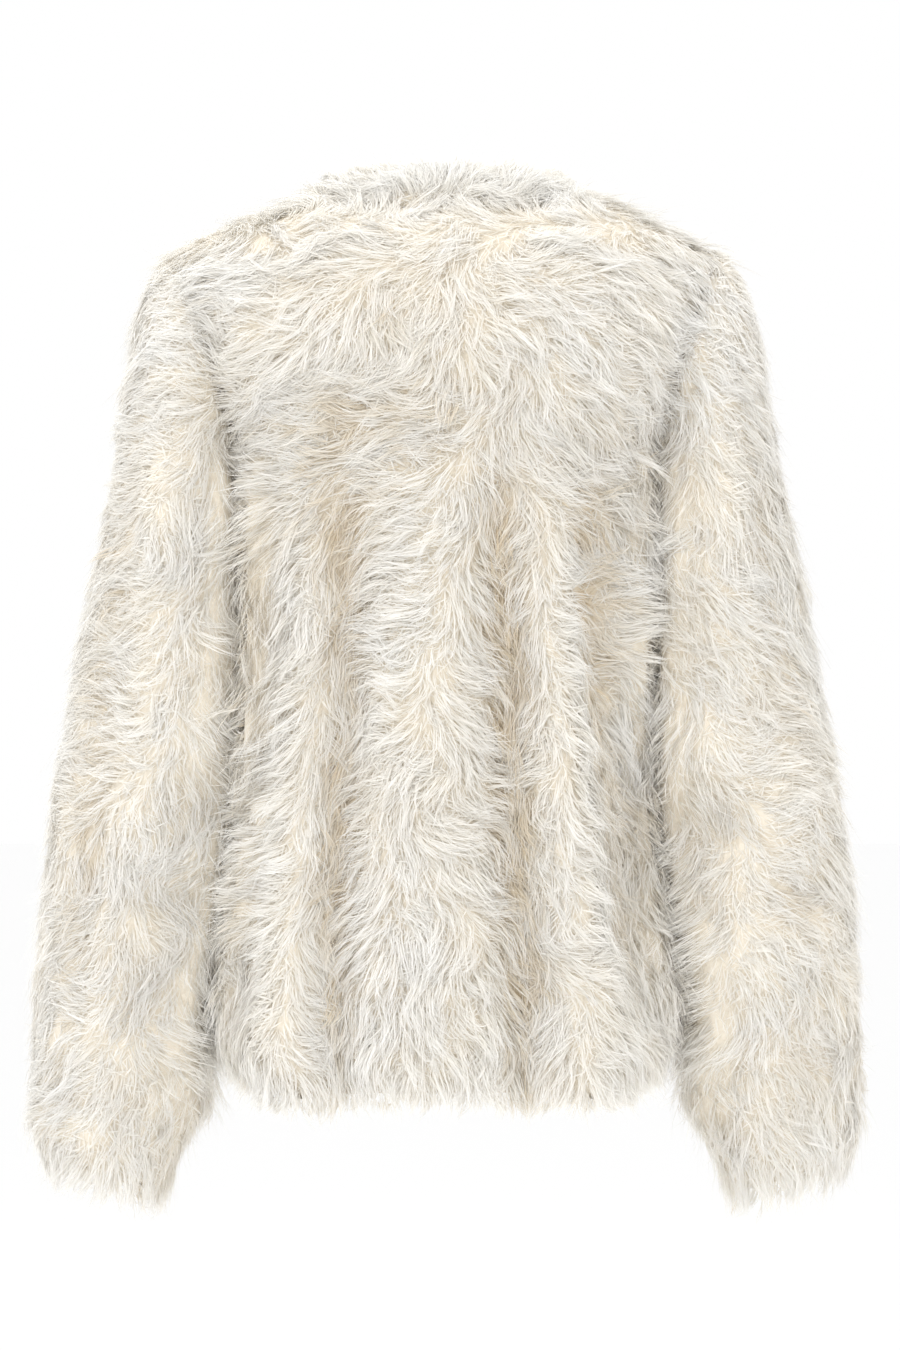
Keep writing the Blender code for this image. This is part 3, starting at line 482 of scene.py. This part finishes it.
class Pile:
    """A panel's outer face, with the layers of its pile: hairs are placed and led along it."""

    def __init__(self, name, outer, inner, others):
        self.name = name
        self.points, self.faces = outer
        self.normals = corner_normals(self.points, self.faces)
        backing = BVHTree.FromPolygons(inner[0].tolist(), inner[1].tolist())
        feet = [backing.find_nearest(point)[0][:] for point in self.points.tolist()]
        self.feet = np.array(feet)  # where the cloth is nearest
        depth = np.linalg.norm(self.points - self.feet, axis=1) - CLOTH
        self.tree = BVHTree.FromPolygons(self.points.tolist(), self.faces.tolist())
        border = self.points[free_edge(self.points, self.faces, others)]
        self.edge = tree_of(border)
        index, to_edge = nearest(self.edge, self.points)
        closeness = (1 - to_edge / EDGE_PULL_REACH).clip(0, 1)
        pull = unit(border[index] - self.points)
        pull = pull * (closeness * (-pull[:, 2]).clip(SIDEWAYS_PULL, 1))[:, None]
        if name == "neckband":
            pull = pull * BAND_PULL
        full, filled = self.crease_fill(others, depth)
        full = full * (to_edge / FILL_FADE).clip(0, 1)
        # A filled crease counts partly as a trough: painted shade there.
        relief = self.relief() - FILL_TONE * full
        lumps = 1 + sum(wave(self.points, *lump) for lump in LUMPS)
        lumps = lumps + RELIEF_RISE * relief
        under = UNDERCOAT * depth * lumps * (1 - full) + (filled - FILL_UNDER) * full
        under = under * (to_edge / UNDERCOAT_FADE).clip(0, 1)
        fullness = SLEEVE_FULLNESS if name in SLEEVES else FULLNESS
        fluff = fullness * depth * lumps * (1 - full) + (filled + FILL_OVER) * full
        fluff = fluff.clip(LEAST_FLUFF, None)
        self.layers = np.column_stack([depth, fluff, under, relief, pull])

    def relief(self):
        """From -1 in a trough to 1 on a crest: how each point lies beside the mean of those round it."""
        # The neckband counts as a crest: painted light on it, and a higher pile.
        if self.name == "neckband":
            return np.full(len(self.points), BAND_RELIEF)
        extra = 0
        # The back's shallow troughs add to it: painted shade there, and a slightly lower pile.
        if self.name == "back":
            extra = sum(shallow_trough(self.points, *trough) for trough in SHALLOW_TROUGHS)
        out = dot(self.points - eased(self.points, self.faces, RELIEF_ROUNDS), self.normals)[:, 0]
        return (out / RELIEF_HEIGHT - extra).clip(-1, 1)

    def crease_fill(self, others, depth):
        """Where another panel faces this one: how far the pile fills the crease, and its depth there."""
        found = [others.find_nearest(point) for point in self.points.tolist()]
        gap = np.array([hit[3] for hit in found])
        way = unit(np.array([hit[0][:] for hit in found]) - self.points)
        start, span = FILL_FACING
        facing = ((dot(way, self.normals)[:, 0] - start) / span).clip(0, 1)
        full, end = FILL_REACH
        return facing * ((end - gap) / (end - full)).clip(0, 1), depth + FILL_SHARE * gap

    def read(self, index, places):
        """Smooth normals and layers at places on the given faces."""
        corners = self.points[self.faces[index]]
        a, b, c = corners[:, 0], corners[:, 1], corners[:, 2]
        whole = np.cross(b - a, c - a)
        size = np.maximum(dot(whole, whole), 1e-20)
        second = dot(np.cross(places - a, c - a), whole) / size
        third = dot(np.cross(b - a, places - a), whole) / size
        share = np.stack([1 - second - third, second, third], 1).clip(0, 1)
        normals = unit((self.normals[self.faces[index]] * share).sum(1))
        return normals, (self.layers[self.faces[index]] * share).sum(1)

    def settle(self, places):
        """Brings places back onto the face. One past the edge stays past it."""
        find = self.tree.find_nearest
        found = [find(place) for place in places.tolist()]
        index = np.array([hit[2] for hit in found])
        on_face = np.array([hit[0][:] for hit in found])
        normals, layers = self.read(index, on_face)
        beyond = places - on_face
        return on_face + beyond - normals * dot(beyond, normals), normals, layers

    def scatter(self, count, lowest, highest, rng):
        """Roots for hairs, closer together where the garment shows most."""
        area = np.linalg.norm(face_vectors(self.points, self.faces), axis=1)
        middle = self.points[self.faces].mean(1)
        facing = self.normals[self.faces].mean(1)
        weight = area * hair_density(self.name, facing)
        weight *= (middle[:, 2] >= lowest) & (middle[:, 2] < highest)
        index = rng.choice(len(self.faces), count * 2, p=weight / weight.sum())
        u, v = rng.random((2, count * 2, 1))
        turn = u + v > 1
        u, v = np.where(turn, 1 - u, u), np.where(turn, 1 - v, v)
        a, b, c = (self.points[self.faces[index, i]] for i in range(3))
        places = a + u * (b - a) + v * (c - a)
        _, gap = nearest(self.edge, places)
        kept = np.flatnonzero(gap > ROOTS_FROM_EDGE)[:count]
        return places[kept], gap[kept]


def sew(piles):
    """Gives panels the same normals and layers where they meet, so that the pile runs on across a seam."""
    tree = tree_of(np.concatenate([pile.points for pile in piles]))
    values = np.concatenate([np.column_stack([pile.normals, pile.layers]) for pile in piles])
    for pile in piles:
        for i in boundary_points(pile.faces):
            own = pile.normals[i].copy()
            near = values[[hit[1] for hit in tree.find_range(pile.points[i].tolist(), SEAM_REACH)]]
            mean = near[near[:, :3] @ own > 0].mean(0)
            pile.normals[i], pile.layers[i, :4] = unit(mean[:3]), mean[3:7]


def hair_density(name, facing):
    """Fewer hairs on the front, and on the side of a sleeve that presses on the body."""
    density = np.where(facing[:, 1] > FRONT_LIMIT, 1.0, FRONT_DENSITY)
    if name in SLEEVES:
        density = np.where(facing[:, 0] * SIDE[name] < PRESSED_LIMIT, PRESSED_DENSITY, density)
    return density


# ---------------------------------------------------------------- how the pile lies
def band_way(places, pull):
    """The way the neckband's pile points. Its parting is found by the pull of the free edge."""
    x, y, _ = places.T
    aside = ((x + wave(places, *BAND_WANDER)) / BAND_HALF).clip(-1, 1)
    close = np.linalg.norm(pull, axis=1) / (BAND_PULL * SIDEWAYS_PULL)
    behind = (y / BAND_BEHIND).clip(0, 1)
    parting, turn = BAND_PARTING
    up = behind + (1 - behind) * ((close - parting) / turn).clip(-1, 1)
    outward = BAND_OUTWARD * y / BAND_OUTWARD_REACH
    return np.stack([BAND_ASIDE * aside, outward, up * (1 - BAND_UP_LOSS * np.abs(aside))], 1)


def torso_aside(places, normals):
    """How much the torso's pile goes to the sides, and how much it whorls round its middle."""
    x, _, z = places.T
    spread = np.interp(z / MM, *TORSO_SPREAD)
    middle = x + wave(places, *TORSO_WANDER)
    aside = TORSO_ASIDE * spread * (middle / TORSO_HALF).clip(-1, 1) + TORSO_FOLLOW * normals[:, 0]
    return aside, WHORL * spread / TORSO_SPREAD[1][-1] * np.exp(-(middle / WHORL_HALF) ** 2)


def parted(places, aside):
    """What the parting makes of the back's pile: how much it goes aside and down, and its ruffle."""
    x, _, z = places.T
    above = z - PARTING + wave(places, *PARTING_WANDER)
    near = np.exp(-(above / PARTING_REACH) ** 2)
    stray = wave(places, *PARTING_ASIDE).clip(-PARTING_ASIDE_LIMIT, PARTING_ASIDE_LIMIT)
    fall = np.where(np.abs(x) < PARTING_HALF, -(above / PARTING_TURN).clip(-1, 1), 1)
    return aside * (1 - near) + near * stray, fall, PARTING_RUFFLE * near


def lie(name, places, normals, pull, seed, curl):
    """The way the pile points: unit vectors along the face, turned by curl."""
    whorl = ruffle = 0
    if name == "neckband":
        along = band_way(places, pull)
        ruffle = BAND_RUFFLE
    else:
        fall = np.ones(len(places))
        if name in TORSO:
            aside, whorl = torso_aside(places, normals)
        else:
            aside = SIDE[name] * np.interp(places[:, 2] / MM, *SLEEVE_SPREAD) + SLEEVE_FOLLOW * normals[:, 0]
        if name == "back":
            aside, fall, ruffle = parted(places, aside)
        along = np.stack([aside, 0 * aside, -fall], 1)
    along = unit(unit(along) + EDGE_PULL * pull)
    along = unit(along - normals * dot(along, normals))
    turn = wave(places, *WIDE_TURN) + wave(places, MIDDLE_TURN + ruffle, *MIDDLE_TURN_LUMPS)
    turn = turn + wave(places, FINE_TURN + ruffle, FINE_TURN_SIZE, seed) + curl
    turn = turn + wave(places, whorl, *WHORL_LUMPS)
    turn = (turn * (1 - EDGE_TURN_LOSS * np.linalg.norm(pull, axis=1)))[:, None]
    return along * np.cos(turn) + np.cross(normals, along) * np.sin(turn)


def led_along(pile, roots, length, rise, curl, seed):
    """Paths of hairs out of the undercoat: (hairs, levels, 3), and the normals there."""
    places, normals, layers = pile.settle(roots)
    depth, fluff, under = layers[:, :3].T
    bottom = ROOT_SHARE * under
    path = [places + normals * (bottom - depth)[:, None]]
    facing = [normals]
    for k in range(1, len(LEVELS)):
        run = np.sqrt(np.maximum(length ** 2 - (fluff * rise - bottom) ** 2, (LEAST_RUN * length) ** 2))
        step = (run * (LEVELS[k] - LEVELS[k - 1]))[:, None]
        way = lie(pile.name, places, normals, layers[:, 4:], seed, curl * LEVELS[k])
        places, normals, layers = pile.settle(places + way * step)
        depth, fluff = layers[:, :2].T
        height = bottom + (fluff * rise - bottom) * CLIMB[k] - depth
        path.append(places + normals * height[:, None])
        facing.append(normals)
    return np.stack(path, 1), np.stack(facing, 1)


def held_in(points):
    """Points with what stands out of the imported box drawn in, softly, to at most OVERHANG."""
    for corner, way in zip(CAD_BOX, (-1, 1)):
        past = ((points - np.array(corner)) * way).clip(0, None)
        points = points - way * (past - OVERHANG * (1 - np.exp(-past / OVERHANG)))
    return points


def by_level(amounts, power):
    """Amounts that come in along a hair, shaped to be multiplied with (hairs, levels, 3)."""
    return amounts[:, None, None] * (LEVELS ** power)[None, :, None]


def tufted(pile, locks, to_edge, seed, rng):
    """The paths of locks that stand in tufts, and their normals. A tuft is highest at its middle."""
    count = len(locks)
    tuft_count = max(LEAST_TUFTS, int(count * (LOCK_SPACING / TUFT_SPACING) ** 2))
    tufts = rng.choice(count, tuft_count, replace=False)
    tuft_of_lock, from_tuft = nearest(tree_of(locks[tufts]), locks)
    tuft_height = rng.normal(0, TUFT_HEIGHTS, tuft_count)
    tuft_height = tuft_height + TALL_TUFT * (rng.random(tuft_count) < TALL_TUFT_SHARE)
    tuft_length = rng.normal(1, TUFT_LENGTHS, tuft_count)
    tuft_curl = rng.normal(0, TUFT_CURLS, tuft_count)

    length = HAIR_LENGTH * tuft_length[tuft_of_lock] * rng.normal(1, LOCK_LENGTHS, count)
    past = rng.uniform(*past_edge(pile.name), count)
    length = np.minimum(length, (to_edge + past).clip(LEAST_LENGTH, None))
    dome = 1.0 - TUFT_DOME * (from_tuft / TUFT_SPACING).clip(0, 1) ** 2
    rise = dome + tuft_height[tuft_of_lock] + rng.normal(0, LOCK_HEIGHTS, count)
    at_edge = (1 - to_edge / EDGE_FILL_REACH).clip(0, 1)
    rise = rise * (1 - at_edge * rng.uniform(0, EDGE_FILL, count))
    curl = tuft_curl[tuft_of_lock] + rng.normal(0, LOCK_CURLS, count)
    paths, normals = led_along(pile, locks, length, rise, curl, seed)

    # A lock leans to its tuft's own path, more and more towards its tip.
    lead = paths[tufts[tuft_of_lock]]
    return paths + by_level(GATHER + wave(locks, *GATHER_WAVE), GATHER_POWER) * (lead - paths), normals


def grown(pile, count, lowest, highest, seed, rng):
    """Long hairs in locks, and locks in tufts: paths, normals, ribbon widths and tints."""
    roots, to_edge = pile.scatter(count, lowest, highest, rng)
    count = len(roots)
    is_lock = np.zeros(count, bool)
    is_lock[rng.choice(count, count // HAIRS_PER_LOCK, replace=False)] = True
    locks = roots[is_lock]
    lock_of_hair, _ = nearest(tree_of(locks), roots)
    paths, normals = tufted(pile, locks, to_edge[is_lock], seed, rng)

    # A hair keeps its own root and nears its lock's path at the tip.
    own = paths[lock_of_hair]
    facing = normals[lock_of_hair]
    places, root_normals, layers = pile.settle(roots)
    depth, fluff, under = layers[:, :3].T
    offset = (places + root_normals * (ROOT_SHARE * under - depth)[:, None] - own[:, 0])[:, None, :]
    close = CLOSENESS + wave(roots, *CLOSENESS_WAVE) + rng.normal(0, HAIR_CLOSENESS, count)
    hairs = own + offset * (1 - by_level(close.clip(*CLOSENESS_LIMITS), CLOSENESS_POWER))

    # Each has its own length, lift and stray, and some are wisps.
    wisp = rng.random(count) > 1 - WISP_SHARE
    reach = rng.normal(1, HAIR_LENGTHS, count).clip(*HAIR_LENGTH_LIMITS) * np.where(wisp, WISP_LENGTH, 1)
    start = hairs[:, :1]
    hairs = start + (hairs - start) * reach[:, None, None]
    lift = rng.normal(0, HAIR_LIFTS, (count, 1)) * LEVELS
    lift = lift + np.where(wisp, WISP_LIFT, 0)[:, None] * LEVELS ** WISP_POWER
    stray = rng.normal(0, STRAY, (count, 1, 3)) * (LEVELS ** STRAY_POWER)[None, :, None]
    hairs = held_in(hairs + (fluff[:, None] * lift)[:, :, None] * facing + stray)

    widths = HAIR_WIDTH * rng.uniform(*HAIR_WIDTH_LIMITS, count) * np.where(wisp, WISP_WIDTH, 1)
    # A lock's tone: painted shade in troughs and painted light on crests, and a random difference.
    relief = pile.settle(locks)[2][:, 3]
    lock_tone_and_shade = MEAN_TONE + RELIEF_SHADE * relief + rng.normal(0, LOCK_TONES, len(locks))
    tints = np.stack([rng.random(count), lock_tone_and_shade.clip(0, 1)[lock_of_hair]], 1)
    return hairs, facing, widths, tints


def down(pile, count, lowest, highest, seed, rng):
    """Short, wide hairs low in the pile: paths, normals, ribbon widths and tints."""
    roots, to_edge = pile.scatter(count, lowest, highest, rng)
    count = len(roots)
    places, normals, layers = pile.settle(roots)
    depth, fluff, under, relief = layers[:, :4].T
    length = np.minimum(DOWN_LENGTH * rng.uniform(*DOWN_LENGTH_LIMITS, count), to_edge)
    way = lie(pile.name, places, normals, layers[:, 4:], seed, rng.normal(0, DOWN_TURN, count))
    top = under + (fluff - under).clip(0, None) * rng.uniform(*DOWN_TOP_LIMITS, count)
    bottom = ROOT_SHARE * under
    heights = np.stack([bottom, bottom + DOWN_CLIMB * (top - bottom), top], 1) - depth[:, None]
    paths = places[:, None] + way[:, None] * (length[:, None] * DOWN_LEVELS)[:, :, None]
    paths = held_in(paths + normals[:, None] * heights[:, :, None])
    facing = np.repeat(normals[:, None], len(DOWN_LEVELS), 1)
    # Painted shade in troughs and painted light on crests, and a random difference.
    tone = MEAN_TONE + RELIEF_SHADE * relief + rng.normal(0, DOWN_SHADES, count)
    tints = np.stack([rng.random(count), tone.clip(0, 1)], 1)
    return paths, facing, DOWN_WIDTH * rng.uniform(*DOWN_WIDTH_LIMITS, count), tints


def ribbons(hairs, facing, widths, tints, shares, tones, rng):
    """Tapered ribbons: (hairs, corners, 3), one ribbon's faces, and (hairs, corners, 3) values."""
    count, levels = hairs.shape[:2]
    along = unit(np.gradient(hairs, axis=1))
    across = unit(np.cross(along, facing))
    outward = np.cross(across, along)
    roll = rng.normal(0, ROLL, (count, 1, 1))
    across = (across * np.cos(roll) + outward * np.sin(roll))[:, 1:-1]
    half = (widths[:, None] * shares[None, :] / 2)[:, :, None] * across
    middle = hairs[:, 1:-1]
    pairs = np.stack([middle - half, middle + half], 2).reshape(count, -1, 3)
    points = np.concatenate([hairs[:, :1], pairs, hairs[:, -1:]], 1)

    last = 2 * levels - 3
    faces = [[0, 2, 1]]
    faces += [[2 * k - 1, 2 * k, 2 * k + 2, 2 * k + 1] for k in range(1, levels - 2)]
    faces += [[last - 2, last - 1, last]]
    values = np.empty((count, last + 1, 3))
    values[:, :, 0] = np.concatenate([tones[:1], np.repeat(tones[1:-1], 2), tones[-1:]])
    values[:, :, 1:] = tints[:, None, :]
    return points, faces, values


def fur_mesh(name, parts):
    """One object of several kinds of ribbons. Its corners keep their values as the colour "hair"."""
    points, loops, sizes, values, used = [], [], [], [], 0
    for corners, faces, shades in parts:
        count, per_hair = corners.shape[:2]
        base = used + (np.arange(count) * per_hair)[:, None]
        loops.append((base + np.concatenate(faces)[None]).ravel())
        sizes.append(np.tile([len(face) for face in faces], count))
        points.append(corners.reshape(-1, 3))
        values.append(shades.reshape(-1, 3))
        used += count * per_hair
    points, loops, sizes, values = (np.concatenate(kind) for kind in (points, loops, sizes, values))

    mesh = bpy.data.meshes.new(name)
    mesh.vertices.add(len(points))
    mesh.vertices.foreach_set("co", points.astype(np.float32).ravel())
    mesh.loops.add(len(loops))
    mesh.loops.foreach_set("vertex_index", loops.astype(np.int32))
    mesh.polygons.add(len(sizes))
    mesh.polygons.foreach_set("loop_start", np.concatenate([[0], np.cumsum(sizes)[:-1]]).astype(np.int32))
    mesh.polygons.foreach_set("use_smooth", np.ones(len(sizes), bool))
    mesh.update(calc_edges=True)
    set_shades(mesh, values)
    return placed(name, mesh)


def fur(name, pile, lowest, highest, count, seed):
    """The fur on one stretch of a panel: its long hairs and the down between them."""
    rng = np.random.default_rng(seed)
    long = ribbons(*grown(pile, count, lowest, highest, seed, rng), WIDTHS, LEVELS, rng)
    short = down(pile, int(DOWN_SHARE * count), lowest, highest, seed, rng)
    return fur_mesh(name, [long, ribbons(*short, DOWN_WIDTHS, DOWN_TONES, rng)])


# ---------------------------------------------------------------- the cloth
def inward_ways(points, faces):
    """For each point, the way to the middle of its neighbours, which on a boundary is the way in."""
    ways = np.zeros_like(points)
    links = neighbour_links(faces)
    np.add.at(ways, links[:, 0], points[links[:, 1]] - points[links[:, 0]])
    return unit(ways)


def drawn_back(name, points, faces, others):
    """The points of a face with its free edges drawn back."""
    border = free_edge(points, faces, others)
    index, gap = nearest(tree_of(points[border]), points)
    back, ease = setback(name)
    ways = inward_ways(points, faces)[border[index]]
    return points + ways * ((1 - gap / ease).clip(0, 1) * back)[:, None]


def set_shades(mesh, values):
    """Keeps three values for each point as the colour "hair": level, which the fur darkens towards the root
    as painted shade; tone of the hair; and tone of its place, with painted shade in troughs and painted light
    on crests.
    """
    shade = mesh.color_attributes.new("hair", "FLOAT_COLOR", "POINT")
    colours = np.column_stack([values, np.ones(len(values))])
    shade.data.foreach_set("color", colours.astype(np.float32).ravel())


def smooth_sheet(name, points, faces, material, rounds):
    """A sheet of these faces, rounded off by the given rounds of subdivision."""
    mesh = bpy.data.meshes.new(name)
    mesh.from_pydata(points.tolist(), [], faces.tolist())
    mesh.materials.append(material)
    mesh.shade_smooth()
    obj = placed(name, mesh)
    if rounds:
        rounded = obj.modifiers.new("rounded", "SUBSURF")
        rounded.levels = rounded.render_levels = rounds
    return obj


def cloth(name, inner, others, material):
    """The knitted backing: the wall's inner face, with its free edges drawn back, 2 mm thick."""
    points, faces = inner
    obj = smooth_sheet("cloth_" + name, drawn_back(name, points, faces, others), faces, material, 1)
    wall = obj.modifiers.new("wall", "SOLIDIFY")
    wall.thickness = CLOTH
    wall.offset = -1
    return obj


def undercoat(pile, inner, others, material):
    """The dense lower part of the pile, which hairs come out of. It closes on to the cloth's free edge."""
    depth, _, under = pile.layers[:, :3].T
    share = (under + CLOTH / 2) / (depth + CLOTH)
    points = pile.feet + (pile.points - pile.feet) * share[:, None]
    border = free_edge(pile.points, pile.faces, others)
    seams = np.setdiff1d(boundary_points(pile.faces), border)
    rim = drawn_back(pile.name, *inner, others)[free_edge(*inner, others)]
    shift = rim[nearest(tree_of(rim), points[border])[0]] - points[border]
    index, gap = nearest(tree_of(pile.points[border]), pile.points)
    points = points + shift[index] * (1 - gap / CLOSING).clip(0, 1)[:, None]
    points[seams] -= SEAM_LAP * inward_ways(pile.points, pile.faces)[seams]
    obj = smooth_sheet("undercoat_" + pile.name, points, pile.faces, material, 0)
    # Painted shade in troughs and creases, and painted light on crests and the neckband.
    tone = (MEAN_TONE + RELIEF_SHADE * pile.layers[:, 3]).clip(0, 1)
    set_shades(obj.data, np.stack([0 * tone, 0 * tone, tone], 1))
    return obj


# ---------------------------------------------------------------- materials
def principled(name, roughness, sheen=0.0):
    """A material, its node tree and its shader."""
    material = bpy.data.materials.new(name)
    material.use_nodes = True
    shader = material.node_tree.nodes["Principled BSDF"]
    shader.inputs["Roughness"].default_value = roughness
    shader.inputs["Sheen Weight"].default_value = sheen
    return material, material.node_tree, shader


def ramp(tree, value, stops):
    """The output of a colour ramp with the given (place, colour) stops."""
    node = tree.nodes.new("ShaderNodeValToRGB")
    while len(node.color_ramp.elements) < len(stops):
        node.color_ramp.elements.new(0.5)
    for element, (place, colour) in zip(node.color_ramp.elements, stops):
        element.position = place
        element.color = (*colour, 1)
    tree.links.new(value, node.inputs[0])
    return node.outputs[0]


def product(tree, first, second):
    """Two colours multiplied. A Mix node has its colours at inputs 6 and 7 and at output 2."""
    node = tree.nodes.new("ShaderNodeMix")
    node.data_type = "RGBA"
    node.blend_type = "MULTIPLY"
    node.inputs[0].default_value = 1.0
    tree.links.new(first, node.inputs[6])
    tree.links.new(second, node.inputs[7])
    return node.outputs[2]


def texture(tree, kind, settings):
    """A texture node with these inputs, in the piece's own space."""
    place = tree.nodes.new("ShaderNodeTexCoord")
    node = tree.nodes.new(kind)
    for name, value in settings.items():
        node.inputs[name].default_value = value
    tree.links.new(place.outputs["Object"], node.inputs["Vector"])
    return node


def bumped(tree, shader, height, strength, distance):
    """Gives the shader a bump of this height."""
    bump = tree.nodes.new("ShaderNodeBump")
    bump.inputs["Strength"].default_value = strength
    bump.inputs["Distance"].default_value = distance
    tree.links.new(height, bump.inputs["Height"])
    tree.links.new(bump.outputs[0], shader.inputs["Normal"])


def hair_values(tree):
    """The three values of the colour "hair"."""
    hair = tree.nodes.new("ShaderNodeAttribute")
    hair.attribute_name = "hair"
    parts = tree.nodes.new("ShaderNodeSeparateColor")
    tree.links.new(hair.outputs["Color"], parts.inputs[0])
    return parts.outputs


def relief_shade(tree, value):
    """Painted shade and light: warmer and darker in a trough, and nearly white on a crest."""
    return ramp(tree, value, [(0.0, TROUGH_SHADE), (0.5, SLOPE_SHADE), (1.0, CREST_LIGHT)])


def fur_material():
    """Cream at the roots and ivory at the tips: the darker, warmer roots are painted shade deep in the pile.
    Troughs get painted shade and crests painted light, and hairs, locks and larger stretches differ.
    """
    material, tree, shader = principled("ivory_fur", roughness=0.5, sheen=0.15)
    shader.inputs["Specular IOR Level"].default_value = 0.5
    # Level darkens the roots, and place darkens troughs and lightens crests, as painted shade and light.
    level, hair, place = hair_values(tree)
    patches = texture(tree, "ShaderNodeTexNoise", {"Scale": 14, "Detail": 3})
    colour = ramp(tree, level, [(0.0, SHADED_ROOT), (0.25, SHADED_LOW), (0.6, MIDDLE), (1.0, TIP)])
    colour = product(tree, colour, ramp(tree, hair, [(0.0, DULL_HAIR), (1.0, WHITE)]))
    colour = product(tree, colour, relief_shade(tree, place))
    colour = product(tree, colour, ramp(tree, patches.outputs[0], [(0.35, WARM_PATCH), (0.65, WHITE)]))
    tree.links.new(colour, shader.inputs["Base Color"])
    through = tree.nodes.new("ShaderNodeBsdfTranslucent")
    tree.links.new(colour, through.inputs["Color"])
    both = tree.nodes.new("ShaderNodeMixShader")
    both.inputs[0].default_value = TRANSLUCENCY
    tree.links.new(shader.outputs[0], both.inputs[1])
    tree.links.new(through.outputs[0], both.inputs[2])
    tree.links.new(both.outputs[0], tree.nodes["Material Output"].inputs["Surface"])
    return material


def undercoat_material():
    """Soft cream wool in fine, uneven flecks, darker than the hairs as painted shade deep in the pile, with
    painted shade in troughs and painted light on crests.
    """
    material, tree, shader = principled("cream_undercoat", roughness=0.9, sheen=0.3)
    flecks = texture(tree, "ShaderNodeTexNoise", {"Scale": 420, "Detail": 4, "Distortion": 0.6})
    dark, light = SHADED_WOOL
    tone = ramp(tree, flecks.outputs[0], [(0.3, dark), (0.7, light)])
    colour = product(tree, tone, relief_shade(tree, hair_values(tree)[2]))
    tree.links.new(colour, shader.inputs["Base Color"])
    bumped(tree, shader, flecks.outputs[0], strength=0.6, distance=1 * MM)
    return material


def knit_material():
    """A fine cream knit: rows of small loops, with a slightly uneven tone."""
    material, tree, shader = principled("cream_knit", roughness=0.9, sheen=0.2)
    rows = texture(tree, "ShaderNodeTexWave", {"Scale": 160, "Distortion": 1.5, "Detail": 2})
    rows.wave_type = "BANDS"
    rows.bands_direction = "Z"
    dark, light = KNIT
    tone = ramp(tree, rows.outputs["Fac"], [(0.0, dark), (1.0, light)])
    tree.links.new(tone, shader.inputs["Base Color"])
    bumped(tree, shader, rows.outputs["Fac"], strength=0.5, distance=0.6 * MM)
    return material


# ---------------------------------------------------------------- floor, light and camera
def set_floor():
    mesh = bpy.data.meshes.new("floor")
    corners = [(i * FLOOR_HALF, j * FLOOR_HALF, FLOOR_Z) for i, j in ((-1, -1), (1, -1), (1, 1), (-1, 1))]
    mesh.from_pydata(corners, [], [(0, 1, 2, 3)])
    material, _, shader = principled("pale_floor", roughness=0.9)
    shader.inputs["Base Color"].default_value = (*FLOOR, 1)
    mesh.materials.append(material)
    floor = placed("floor", mesh)


def set_lamp(name, place, target, size, power):
    data = bpy.data.lights.new(name, "AREA")
    data.shape = "DISK"
    data.size = size
    data.energy = power
    lamp = placed(name, data)
    lamp.location = place
    lamp.rotation_euler = (Vector(target) - Vector(place)).to_track_quat("-Z", "Y").to_euler()


def set_world():
    world = bpy.data.worlds.new("studio")
    world.use_nodes = True
    sky = world.node_tree.nodes["Background"]
    sky.inputs["Color"].default_value = (1, 1, 1, 1)
    sky.inputs["Strength"].default_value = 1.0
    bpy.context.scene.world = world


def set_camera():
    """Straight behind the garment, so that the photograph's height fills the frame."""
    data = bpy.data.cameras.new("camera")
    data.sensor_fit = "AUTO"
    data.sensor_width = 36
    data.lens = data.sensor_width * CAMERA_DISTANCE / FRAME_HEIGHT
    camera = placed("camera", data)
    camera.location = (CAMERA_X, CAMERA_DISTANCE, CAMERA_Z)
    camera.rotation_euler = (math.pi / 2, 0, math.pi)
    bpy.context.scene.camera = camera


# ---------------------------------------------------------------- the garment
def make_garment():
    meshes = {name: merged_mesh(obj) for name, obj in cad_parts.items()}
    sides = {name: wall_sides(name, *mesh) for name, mesh in meshes.items()}
    others = {name: all_but(name, meshes) for name in meshes}
    ivory, wool, knit = fur_material(), undercoat_material(), knit_material()
    cloths, piles, furs = {}, {}, {}
    for name, (outer, inner) in sides.items():
        cloths[name] = cloth(name, inner, others[name], knit)
        piles[name] = Pile(name, finer(*outer), inner, others[name])
    sew(list(piles.values()))
    for name, pile in piles.items():
        furs[name] = [undercoat(pile, sides[name][1], others[name], wool)]
    for piece, name, lowest, highest, count, seed in FUR_PIECES:
        made = fur(piece, piles[name], lowest * MM, highest * MM, count, seed)
        made.data.materials.append(ivory)
        furs[name].append(made)
    for name, obj in cloths.items():
        for piece in [obj] + furs[name]:
            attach(piece, "root")
        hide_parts(name)


make_garment()
set_floor()
set_world()
for lamp in LAMPS:
    set_lamp(*lamp)
set_camera()
bpy.context.scene.view_settings.view_transform = "Standard"
